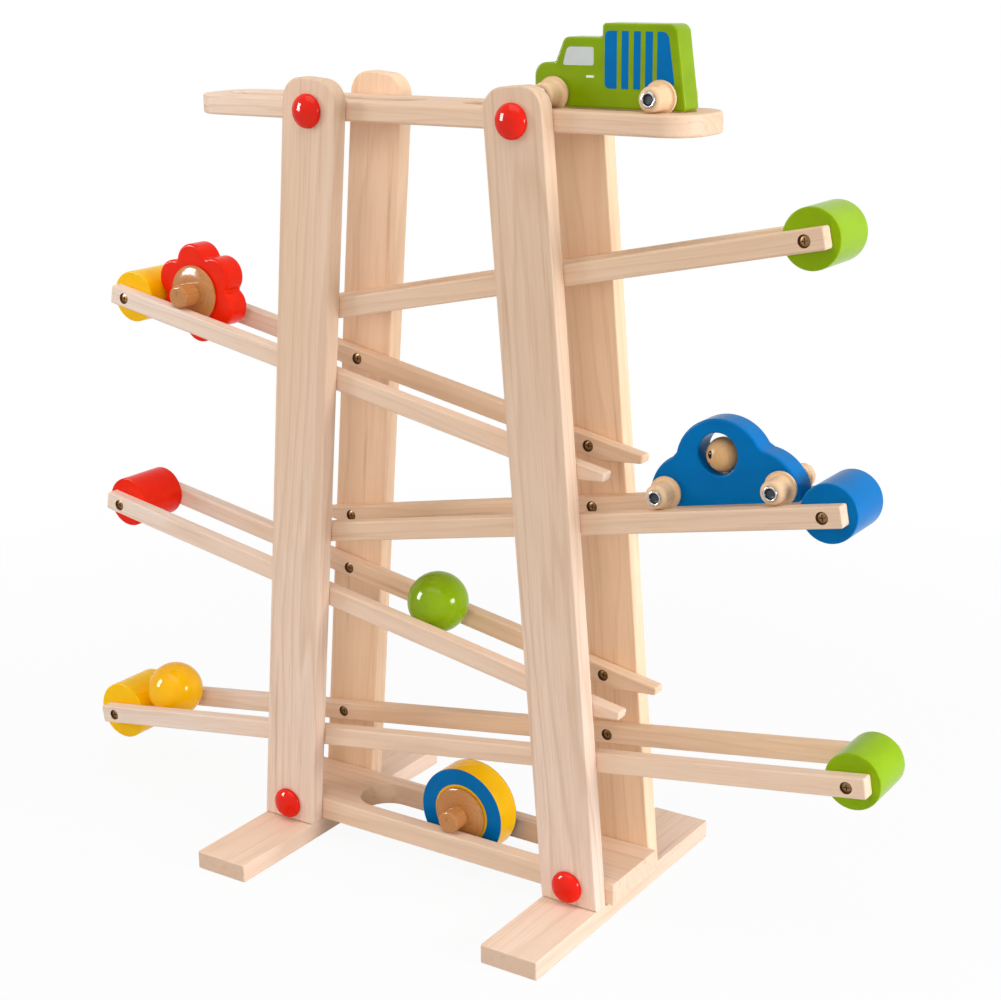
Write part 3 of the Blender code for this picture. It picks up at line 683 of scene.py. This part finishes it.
# Top deck with its two slots, base plank with its long slot
deck_loops = [rectangle(DECK_HALF, HALF_BAY - GAP, DECK_CORNER)]
for side in (-1, 1):
    ends = sorted((side * DECK_HALF_WEB, side * (DECK_HALF - DECK_END_WALL)))
    deck_loops.append(stadium(ends[0], ends[1], DECK_SLOT_HALF, 24))
put("top_deck_board", slab("top_deck", deck_loops, DECK_THICK / 2),
    Matrix.Translation((0.0, 0.0, DECK_Z + DECK_THICK / 2)), "stand",
    wood("top_deck_grain", 21.0, paler=DECK_PALER), ["top_deck"], flat=True)
plank_loops = [rectangle(PLANK_HALF, HALF_BAY - GAP, SAWN_CORNER),
               stadium(PLANK_SLOT_LEFT, PLANK_SLOT_RIGHT, PLANK_SLOT_HALF, 32)]
put("base_plank_board", slab("base_plank", plank_loops, PLANK_THICK / 2, SAWN_EDGE),
    Matrix.Translation((0.0, 0.0, PLANK_Z + PLANK_THICK / 2)), "stand",
    wood("base_plank_grain", 24.5, *PLANK_LIFTED_TONES), ["base_plank"], flat=True)

# Red caps
crown = [(0.0, CAP_HIGH)]
for k in range(1, CROWN_STEPS + 1):
    turn = pi / 2 * k / CROWN_STEPS
    crown.append((CAP_R * sin(turn), CAP_LIP + (CAP_HIGH - CAP_LIP) * cos(turn)))
lip = [(CAP_R - 0.3 * CAP_LIP, 0.3 * CAP_LIP), (CAP_R - CAP_LIP, 0.0)]
shank = [(SHANK_R, 0.0), (SHANK_R, -SHANK_LONG), (0.0, -SHANK_LONG)]
cap_mesh = turned("cap", crown + lip + shank)
for side in (-1, 1):
    for z, level in ((CAP_LOW_Z, "lower"), (CAP_HIGH_Z, "upper")):
        for depth, row in ROWS:
            name = "cap_" + level + "_" + row + "_" + side_name(side)
            out = Y_AXIS * depth
            at = (side * upright_x(z), depth * (HALF_BAY + BOARD_THICK + GAP), z)
            put(name + "_dome", cap_mesh.copy(), outward(out, Z_AXIS, at), "stand", PAINTS["cap"],
                [name], sharp=45.0)


def screw_shape():
    """A countersunk screw head with a cross recess, its top facing +X."""
    shape = bmesh.new()
    for size in ((CROSS_DEEP, CROSS_LONG, CROSS_WIDE), (CROSS_DEEP, CROSS_WIDE, CROSS_LONG)):
        bmesh.ops.create_cube(shape, matrix=Matrix.Diagonal((*size, 1.0)))
    cross = bpy.data.meshes.new("screw_cross")
    shape.to_mesh(cross)
    shape.free()
    return carved(turned("screw", SCREW_PROFILE, 28), cross, use_self=True)


SCREW = screw_shape()


def block_mesh(radius):
    """A round block between two rails, its edges just broken."""
    half = RAIL_IN - GAP
    profile = [(0.0, -half), (radius, -half), (radius, half), (0.0, half)]
    return turned("block", eased(profile, BLOCK_EDGE), 96)


def upright_crossing(side, height, slope):
    """Where a track's centre line crosses an upright's centre line."""
    per_metre = (UPRIGHT_TOP_X - FOOT_X) / (STAND_TOP - BOARD_THICK)
    return side * upright_x(height) / (1 - side * per_metre * slope)


def rail_loop(first, last, rising, cut_low):
    """A rail seen from the side, along its own slope; the low end is cut away underneath."""
    corners = [(first, -RAIL_TOP), (last, -RAIL_TOP), (last, RAIL_TOP), (first, RAIL_TOP)]
    if cut_low and rising > 0:
        corners[0:1] = [(first, RAIL_TOP - LOW_NOSE), (first + LOW_CUT, -RAIL_TOP)]
    elif cut_low:
        corners[1:2] = [(last - LOW_CUT, -RAIL_TOP), (last, RAIL_TOP - LOW_NOSE)]
    return rounded([(x, y, CRISP_CORNER) for x, y in corners], 6)


# Tracks: rails with sunk screws, blocks between them
tracks = []
for k, degrees in enumerate(TRACK_DEGREES):
    rising = 1 if k % 2 == 0 else -1
    height = TRACK_LOW + TRACK_STEP * k
    tilt = radians(degrees)
    along = Vector((cos(tilt), 0.0, rising * sin(tilt)))
    above = Vector((-rising * sin(tilt), 0.0, cos(tilt)))
    origin = Vector((0.0, 0.0, height))
    tracks.append((along, above, origin, tilt))
    reach = TRACK_REACH[k]
    hang = LOW_OVERHANG[k]
    crossings = [upright_crossing(side, height, rising * tan(tilt)) for side in (-1, 1)]
    block_places = [rising * reach]
    low_end = -rising * (reach + RAIL_PAST_BLOCK)
    if hang:
        low_end = crossings[0 if rising > 0 else 1] - rising * (BOARD_WIDE / 2 + hang)
    else:
        block_places.append(-rising * reach)
    ends = sorted((rising * (reach + RAIL_PAST_BLOCK) / cos(tilt), low_end / cos(tilt)))
    loop = rail_loop(ends[0], ends[1], rising, bool(hang))
    for depth, row in ROWS:
        name = "track%d_%s_rail" % (k + 1, row)
        at = origin + Y_AXIS * depth * RAIL_Y
        thick = RAIL_THICK / 2
        holes = []
        for x, sunk in [(x, depth) for x in crossings] + [(x, -depth) for x in block_places]:
            span = sorted((sunk * (thick - SCREW_HOLE_DEEP), sunk * 2 * thick))
            holes.append((x / cos(tilt), 0.0, span[0], span[1]))
            tag = "screw_%s_%s_%d" % (name, "post" if sunk == depth else "block", len(holes))
            out = -Y_AXIS * sunk
            spot = at + along * (x / cos(tilt)) + out * (thick - SCREW_SUNK)
            put(tag, SCREW.copy(), outward(out, above, spot), "stand", SCREW_BRONZE)
        tones = RAIL_TONES[k] if depth < 0 else REAR_RAIL_LIT_TONES
        finish = wood(name + "_grain", 30.0 + 2.7 * k + 1.3 * depth, *tones, paler=RAIL_PALER)
        put(name + "_board", bored(slab(name, [loop], thick, CRISP_EDGE), holes, finish, BORE_WALL_SHADED),
            side_on(along, above, at), "stand", finish, [name], flat=True)
    for x in block_places:
        high = x * rising > 0
        colour = TRACK_COLOURS[k] if high else "yellow"
        name = "track%d_%s_block" % (k + 1, "high" if high else "low")
        put(name + "_paint", block_mesh((BLOCK_R if high else LOW_BLOCK_R) - FILM),
            outward(-Y_AXIS, Z_AXIS, origin + along * (x / cos(tilt))), "stand", PAINTS[colour],
            [name], flat=True)

# Wheels: thin flange inboard at X = 0, fillet, tread, well rounded outer end; rivets through their middles
bore = AXLE_R + GAP
wheel_profile = eased([(bore, 0.0), (FLANGE_R, 0.0), (FLANGE_R, FLANGE_LONG),
                       (TREAD_R + FLANGE_FILLET, FLANGE_LONG)], FLANGE_ROUND)[:-1]
wheel_profile += arc((TREAD_R + FLANGE_FILLET, FLANGE_LONG + FLANGE_FILLET), FLANGE_FILLET, 270, 180, 8)
wheel_profile += arc((TREAD_R - WHEEL_ROUND, WHEEL_LONG - WHEEL_ROUND), WHEEL_ROUND, 0, 90, 10)
wheel_profile.append((bore, WHEEL_LONG))
WHEEL = turned("wheel", wheel_profile, 56, closed=True)
rim_round = 0.5 * (RIM_R - MOUTH_R)
axle_half = [(0.0, AXLE_HALF - MOUTH_DEEP), (MOUTH_FLOOR_R, AXLE_HALF - MOUTH_DEEP),
             (MOUTH_NECK_R, AXLE_HALF - MOUTH_NECK_DEEP)]
axle_half += arc((0.5 * (MOUTH_R + RIM_R), AXLE_HALF - rim_round), rim_round, 180, 0, 10)
axle_half += [(RIM_R, AXLE_HALF - RIM_THICK), (AXLE_R, AXLE_HALF - RIM_THICK)]
AXLE = turned("axle", axle_half + [(r, -h) for r, h in reversed(axle_half)], 40)
# The disc that lies in each rivet's mouth as painted shade
SHADE_DISH = turned("hollow", DISH_PROFILE, 40)


def wheel_set(prefix, along, above, origin, places, up):
    """Axles and wheels of a vehicle at places along it, at a height above its origin."""
    for where, x in places:
        spot = origin + along * x + above * up
        name = prefix + "_" + where + "_axle"
        put(name + "_rivet", AXLE.copy(), outward(-Y_AXIS, above, spot), prefix, CHROME,
            [name], sharp=40.0)
        for depth, row in FACES:
            name = prefix + "_" + where + "_" + row + "_wheel"
            out = Y_AXIS * depth
            put(prefix + "_" + where + "_" + row + "_hollow", SHADE_DISH.copy(),
                outward(out, above, spot + out * (AXLE_HALF - MOUTH_DEEP + DISH_LIFT)), prefix, HOLLOW_SHADE)
            put(name + "_turned", WHEEL.copy(), outward(out, above, spot + out * WHEEL_IN), name, WHEEL_GRAIN,
                [name], sharp=50.0)


# Truck with painted side panels, window and handle
truck_at = Vector((TRUCK_NOSE_X, 0.0, DECK_TOP))
truck_loop = rounded([(0.0, 0.0, TRUCK_CORNER), (0.0, TRUCK_HOOD, HOOD_CORNER),
                      (TRUCK_SCREEN_X, TRUCK_HOOD, TRUCK_CORNER),
                      (TRUCK_SCREEN_X + TRUCK_SCREEN_RAKE, TRUCK_ROOF, ROOF_CORNER),
                      (TRUCK_BED_X, TRUCK_ROOF, TRUCK_CORNER), (TRUCK_BED_X, TRUCK_HIGH, TRUCK_CORNER),
                      (TRUCK_LONG - TRUCK_TAIL_SLANT, TRUCK_HIGH, TAIL_CORNER),
                      (TRUCK_LONG, 0.0, TRUCK_CORNER)])
truck_body_at = truck_at + Z_AXIS * TRUCK_LIFT
put("truck_body_paint", slab("truck_body", [truck_loop], BODY_HALF, BODY_EDGE),
    side_on(X_AXIS, Z_AXIS, truck_body_at), "truck", PAINTS["truck_green"], ["truck_body"],
    flat=True)
wheel_set("truck", X_AXIS, Z_AXIS, truck_at, zip(("front", "rear"), TRUCK_AXLES), TREAD_R + GAP)

# Painted panels on the truck's sides, their corners in X and Z of the frame with a radius each;
# a band has its left edge, its lower right corner and its upper right corner
BAND_LOW, BAND_HIGH = 0.586, 0.6223
BANDS = ((0.1319, 0.1408, 0.1408), (0.1442, 0.1494, 0.1494), (0.1530, 0.1581, 0.1581),
         (0.1615, 0.1669, 0.1669), (0.1700, 0.1834, 0.1778))
BAND_CORNER, FIRST_CORNER, LAST_CORNER = 0.0004, 0.0034, 0.0050
PANE = ((0.1003, 0.6000, 0.0014), (0.1236, 0.6002, 0.0014), (0.1236, 0.6119, 0.0014),
        (0.1036, 0.6118, 0.0036))
HANDLE = ((0.1180, 0.5924, 0.0006), (0.1240, 0.5924, 0.0006), (0.1240, 0.5940, 0.0006),
          (0.1180, 0.5940, 0.0006))
films = []
for k, (start, low, high) in enumerate(BANDS):
    left = FIRST_CORNER if k == 0 else BAND_CORNER
    right = LAST_CORNER if k == len(BANDS) - 1 else BAND_CORNER
    films.append(("band_%d" % (k + 1), "blue", ((start, BAND_LOW, left), (low, BAND_LOW, right),
                                                (high, BAND_HIGH, right), (start, BAND_HIGH, left))))
films += [("window", "window", PANE), ("handle", "white", HANDLE)]
for depth, row in FACES:
    for name, colour, corners in films:
        loop = rounded([(x - truck_body_at.x, z - truck_body_at.z, r) for x, z, r in corners], 5)
        put("truck_" + name + "_" + row, slab(name, [loop], FILM, FILM / 2, 0),
            side_on(X_AXIS, Z_AXIS, truck_body_at + Y_AXIS * depth * BODY_HALF), "truck", PAINTS[colour],
            flat=True)


def car_loop():
    """Two round fenders and a round cabin, about the car's middle, from the rail's top."""
    down = FENDER_UP - CABIN_UP
    span = sqrt(FENDER_OUT ** 2 + down ** 2)
    part = (CABIN_R ** 2 - FENDER_R ** 2 + span ** 2) / (2 * span)
    off = sqrt(CABIN_R ** 2 - part ** 2)
    valley = Vector((FENDER_OUT * part / span - down * off / span,
                     CABIN_UP + down * part / span + FENDER_OUT * off / span))
    fender = Vector((valley.x - FENDER_OUT, valley.y - FENDER_UP))
    cabin = Vector((valley.x, valley.y - CABIN_UP))
    fender_turn = Vector((1.0, 0.0)).angle(fender) * 180 / pi
    cabin_turn = Vector((1.0, 0.0)).angle(cabin) * 180 / pi
    tip = FENDER_OUT + FENDER_R
    half_loop = arc((tip - CAR_CORNER, CAR_CORNER - CAR_DROP), CAR_CORNER, -90, 0, 6)
    half_loop += arc((FENDER_OUT, FENDER_UP), FENDER_R, 0, fender_turn - FENDER_SHORT, 26)
    half_loop += arc((0.0, CABIN_UP), CABIN_R, cabin_turn + CABIN_SHORT, 90, 26)
    return half_loop + [(-x, z) for x, z in reversed(half_loop[:-1])]


# Car and its driver on the third track from the floor
along, above, origin, tilt = tracks[2]
car_at = origin + along * (TRACK_REACH[2] / cos(tilt) - CAR_FROM_BLOCK) + above * RAIL_TOP
window_loop = arc((0.0, WINDOW_UP), WINDOW_R, 360, 0, 64)[:-1]
put("car_body_paint", slab("car_body", [car_loop(), window_loop], BODY_HALF, BODY_EDGE),
    side_on(along, above, car_at), "car", PAINTS["blue"], ["car_body"], flat=True)
wheel_set("car", along, above, car_at, zip(("front", "rear"), CAR_AXLES), TREAD_R + GAP)
head_at = car_at + above * (WINDOW_UP - WINDOW_R + HEAD_R + 2 * GAP)
head_profile = [(0.0, HEAD_R)]
for k in range(1, HEAD_STEPS - 2):
    head_profile.append((HEAD_R * sin(pi * k / HEAD_STEPS), HEAD_R * cos(pi * k / HEAD_STEPS)))
head_profile += [(NECK_R, -HEAD_R * NECK_JOIN), (NECK_R, -HEAD_R - NECK_LONG), (0.0, -HEAD_R - NECK_LONG)]
put("driver_head_turned", turned("driver_head", head_profile, 56), basis(above, -along, -Y_AXIS, head_at),
    "car", HEAD_GRAIN, ["driver_head"], sharp=45.0)


def on_head(side_turn, lift):
    """A direction from the head's middle, turned from ahead to the near side and lifted, in degrees."""
    flat = -along * cos(radians(side_turn)) - Y_AXIS * sin(radians(side_turn))
    return flat * cos(radians(lift)) + above * sin(radians(lift))


eye = turned("eye", EYE_PROFILE, 28)
glint = turned("glint", GLINT_PROFILE, 20)
for tag, turn in (("near", FACE_TURN + EYE_TURN), ("far", FACE_TURN - EYE_TURN)):
    out = on_head(turn, EYE_LIFT)
    aside = above.cross(out).normalized()
    upward = out.cross(aside)
    oval = eye.copy()
    oval.transform(Matrix.Diagonal(EYE_SHAPE))
    put("driver_eye_" + tag, oval, basis(out, aside, upward, head_at + out * (HEAD_R - EYE_SUNK)), "car",
        PAINTS["ink"])
    spark = (out * HEAD_R + aside * GLINT_ASIDE + upward * GLINT_UP).normalized()
    put("driver_glint_" + tag, glint.copy(),
        basis(spark, upward.cross(spark).normalized(), upward, head_at + spark * (HEAD_R + GLINT_OUT)), "car",
        PAINTS["white"])
smile = bpy.data.curves.new("driver_smile", "CURVE")
smile.dimensions = "3D"
smile.bevel_depth = SMILE_R
smile.bevel_resolution = 3
smile.use_fill_caps = True
line = smile.splines.new("POLY")
turns = [-SMILE_TURN + 2 * SMILE_TURN * k / SMILE_STEPS for k in range(SMILE_STEPS + 1)]
line.points.add(len(turns) - 1)
for point, turn in zip(line.points, turns):
    lift = SMILE_LOW + SMILE_LIFT * (turn / SMILE_TURN) ** 2
    spot = head_at + on_head(FACE_TURN + turn, lift) * (HEAD_R - SMILE_SUNK)
    point.co = (*spot, 1.0)
smile.materials.append(PAINTS["ink"])
mouth = bpy.data.objects.new("driver_smile", smile)
bpy.context.scene.collection.objects.link(mouth)
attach(mouth, "car")


def hub_mesh(name, start):
    """A waxed hub from the disc's face at X = 0 out to the nub's end: a rounded dome and a stub."""
    nub = NUB_END - start
    rise = HUB_DOME - HUB_RIM
    profile = [(0.0, 0.0), (HUB_R - HUB_EDGE, 0.0), (HUB_R, HUB_EDGE)]
    for k in range(HUB_STEPS + 1):
        t = pi / 2 * (1 - k / HUB_STEPS)
        profile.append((NUB_R + (HUB_R - NUB_R) * sin(t), HUB_RIM + rise * cos(t)))
    profile += arc((NUB_R - NUB_ROUND, nub - NUB_ROUND), NUB_ROUND, 0, 90, 8) + [(0.0, nub)]
    return turned(name, profile, 64)


def roller(prefix, disc_mesh, colour, half, along, above, at):
    """A disc between two hubs on a dowel."""
    put(prefix + "_disc_paint", disc_mesh, side_on(along, above, at), prefix + "_roller", PAINTS[colour],
        [prefix + "_disc"], flat=True)
    for depth, row in FACES:
        start = half + GAP
        name = prefix + "_" + row + "_hub"
        out = Y_AXIS * depth
        put(name + "_turned", hub_mesh(name, start), outward(out, above, at + out * start),
            prefix + "_roller", WAXED_GRAIN, [name], sharp=45.0)
    name = prefix + "_dowel"
    end = NUB_END - HUB_WALL - GAP
    profile = eased([(0.0, -end), (DOWEL_R, -end), (DOWEL_R, end), (0.0, end)], DOWEL_EDGE)
    put(name + "_peg", turned(name, profile, 40), outward(Y_AXIS, above, at), prefix + "_carrier",
        wood(name + "_grain", 61.0), [name])


# Flower roller on the fourth track from the floor
petal_points = []
half_turn = pi / PETALS
valley = PETAL_OUT * cos(half_turn) + sqrt(PETAL_R ** 2 - (PETAL_OUT * sin(half_turn)) ** 2)
meeting = Vector((valley * cos(half_turn) - PETAL_OUT, valley * sin(half_turn)))
spread = Vector((1.0, 0.0)).angle(meeting) * 180 / pi
for k in range(PETALS):
    turn = FLOWER_TURN + 2 * pi * k / PETALS
    middle = turn * 180 / pi
    petal_points += arc((PETAL_OUT * cos(turn), PETAL_OUT * sin(turn)), PETAL_R,
                        middle - spread + PETAL_SHORT, middle + spread - PETAL_SHORT, 20)
bore_loop = arc((0.0, 0.0), DOWEL_R + GAP, 360, 0, 32)[:-1]
along, above, origin, tilt = tracks[3]
flower_at = (origin + along * ((FLOWER_FROM_BLOCK - TRACK_REACH[3]) / cos(tilt))
             + above * (RAIL_TOP + GAP + NUB_R))
flower_mesh = slab("flower_disc", [petal_points, bore_loop], FLOWER_HALF, EDGE, 4)
roller("flower", flower_mesh, "red", FLOWER_HALF, along, above, flower_at)

# Disc roller in the base plank, with a painted ring on each face
disc_at = Vector((DISC_X, 0.0, PLANK_TOP + GAP + NUB_R))
disc_loop = arc((0.0, 0.0), DISC_R, 0, 360, 120)[:-1]
disc_mesh = slab("disc_disc", [disc_loop, bore_loop], DISC_HALF, DISC_RIM, 5)
roller("disc", disc_mesh, "yellow", DISC_HALF, X_AXIS, Z_AXIS, disc_at)
ring = [(RING_R, FILM)]
for k in range(RING_STEPS + 1):
    t = radians(RING_WRAP) * k / RING_STEPS
    ring.append((DISC_R - DISC_RIM + (DISC_RIM + FILM) * sin(t), (DISC_RIM + FILM) * cos(t) - DISC_RIM))
ring += [(DISC_R - DISC_RIM, -DISC_RIM), (RING_R, -FILM)]
for depth, row in FACES:
    out = Y_AXIS * depth
    put("disc_ring_" + row, turned("disc_ring", ring, 120, closed=True),
        outward(out, Z_AXIS, disc_at + out * DISC_HALF), "disc_roller", PAINTS["blue"])

# Balls, turned, with a small flat at each pole
ball_up = RAIL_TOP - EDGE + sqrt((BALL_R + EDGE + GAP) ** 2 - (RAIL_IN + EDGE) ** 2)
pole = sqrt(BALL_R ** 2 - BALL_FLAT ** 2)
first_turn = atan(BALL_FLAT / pole)
ball_profile = [(0.0, pole)]
for k in range(BALL_STEPS + 1):
    turn = first_turn + (pi - 2 * first_turn) * k / BALL_STEPS
    ball_profile.append((BALL_R * sin(turn), BALL_R * cos(turn)))
ball_profile.append((0.0, -pole))
for k, name, colour in ((1, "green_ball", "green"), (0, "yellow_ball", "yellow")):
    along, above, origin, tilt = tracks[k]
    s = GREEN_BALL_X / cos(tilt)
    if k == 0:
        s = -TRACK_REACH[0] / cos(tilt) + sqrt((BALL_R + LOW_BLOCK_R + GAP) ** 2 - ball_up ** 2)
    put(name + "_paint", turned(name, ball_profile, 72),
        outward(Y_AXIS, above, origin + along * s + above * ball_up), name, PAINTS[colour + "_gloss"],
        [name], sharp=60.0)

# Pale floor: its rim melts into the white surround, and the object's shadow on it stays soft
FLOOR_R = 1.3
FLOOR_GREY = 0.72
FLOOR_LIFT = 0.93
FADE_FROM, FADE_TO = 0.40 * FLOOR_R, 0.85 * FLOOR_R
WHITE = (1.0, 1.0, 1.0, 1.0)
SURROUND = 0.44
floor_mesh = bpy.data.meshes.new("floor")
shape = bmesh.new()
bmesh.ops.create_circle(shape, cap_ends=True, segments=96, radius=FLOOR_R)
shape.to_mesh(floor_mesh)
shape.free()
floor = bpy.data.objects.new("floor", floor_mesh)
bpy.context.scene.collection.objects.link(floor)
floor_finish, tree, shader, coords = blank("floor_finish")
shader.inputs["Base Color"].default_value = (FLOOR_GREY, FLOOR_GREY, FLOOR_GREY, 1.0)
shader.inputs["Roughness"].default_value = 0.9
shader.inputs["Specular IOR Level"].default_value = 0.0
away = node(tree, "VectorMath", operation="LENGTH")
tree.links.new(coords, away.inputs[0])
white = node(tree, "Emission", Color=WHITE, Strength=1.0)
lifted = node(tree, "MixShader")
tree.links.new(graded(tree, seen_directly(tree), 0.0, 1.0, 0.0, FLOOR_LIFT), lifted.inputs[0])
tree.links.new(shader.outputs[0], lifted.inputs[1])
tree.links.new(white.outputs[0], lifted.inputs[2])
faded = node(tree, "MixShader")
tree.links.new(graded(tree, away.outputs["Value"], FADE_FROM, FADE_TO), faded.inputs[0])
tree.links.new(lifted.outputs[0], faded.inputs[1])
tree.links.new(node(tree, "BsdfTransparent").outputs[0], faded.inputs[2])
tree.links.new(faded.outputs[0], tree.nodes["Material Output"].inputs["Surface"])
floor_mesh.materials.append(floor_finish)

# White studio: an even surround that is white where the camera, a mirror or glass sees it
scene = bpy.context.scene
world = bpy.data.worlds.new("studio")
world.use_nodes = True
scene.world = world
tree = world.node_tree
surround = tree.nodes["Background"]
surround.inputs["Color"].default_value = WHITE
surround.inputs["Strength"].default_value = SURROUND
seen = node(tree, "Background", Color=WHITE, Strength=1.0)
either = node(tree, "MixShader")
tree.links.new(seen_directly(tree), either.inputs[0])
tree.links.new(surround.outputs[0], either.inputs[1])
tree.links.new(seen.outputs[0], either.inputs[2])
tree.links.new(either.outputs[0], tree.nodes["World Output"].inputs["Surface"])


LIGHT_AIM = Vector((0.0, 0.0, 0.3))
LEFT = (-0.74, -0.62, 0.31)
RIGHT = (0.984, 0.05, 0.17)
TOP = (0.05, -0.24, 0.97)
FRONT = (0.34, -0.92, 0.24)
COOL = (0.95, 0.99, 1.08)


def softbox(name, direction, distance, wide, tall, value, mirrored=True, lighting=True, tint=(1.0, 1.0, 1.0)):
    """A rectangular soft light aimed at the object; value is what it gives a white surface facing it.

    mirrored is whether gloss shows it, and lighting whether it lights matt surfaces.
    """
    lamp = bpy.data.lights.new(name, "AREA")
    lamp.shape = "RECTANGLE"
    lamp.size = wide
    lamp.size_y = tall
    lamp.energy = value * pi * pi * distance * distance
    lamp.color = tint
    made = bpy.data.objects.new(name, lamp)
    towards = Vector(direction).normalized()
    made.location = LIGHT_AIM + towards * distance
    made.rotation_euler = towards.to_track_quat("Z", "Y").to_euler()
    made.visible_glossy = mirrored
    made.visible_diffuse = lighting
    scene.collection.objects.link(made)


# The highlight stands nearer than the left softbox, which would hide it from the gloss
softbox("left_softbox", LEFT, 1.8, 0.60, 0.85, 0.18, mirrored=False)
softbox("left_highlight", LEFT, 1.7, 0.45, 0.65, 1.40, lighting=False)
softbox("right_softbox", RIGHT, 2.0, 0.55, 0.55, 0.74, tint=COOL)
softbox("top_softbox", TOP, 2.0, 1.8, 1.8, 0.49)
softbox("front_softbox", FRONT, 2.4, 0.6, 0.6, 0.15, mirrored=False)

# Camera of the photograph: its focal length and width in pixels, the point that it looks at and its distance
FOCAL = 1849.8
PHOTO_WIDE = 1001.0
SENSOR = 36.0
LOOK_AT = Vector((0.0432, 0.0, 0.2923))
DISTANCE = 1.3330
azimuth, elevation, roll = radians(33.168), radians(16.5518), radians(-0.41)
back = Vector((sin(azimuth) * cos(elevation), -cos(azimuth) * cos(elevation), sin(elevation)))
right = Vector((cos(azimuth), sin(azimuth), 0.0))
up = back.cross(right)
camera = bpy.data.cameras.new("photo_camera")
camera.sensor_fit = "HORIZONTAL"
camera.sensor_width = SENSOR
camera.lens = FOCAL * SENSOR / PHOTO_WIDE
viewer = bpy.data.objects.new("photo_camera", camera)
viewer.matrix_world = basis(right * cos(roll) + up * sin(roll), up * cos(roll) - right * sin(roll), back,
                            LOOK_AT + back * DISTANCE)
scene.collection.objects.link(viewer)
scene.camera = viewer
scene.view_settings.view_transform = "Standard"
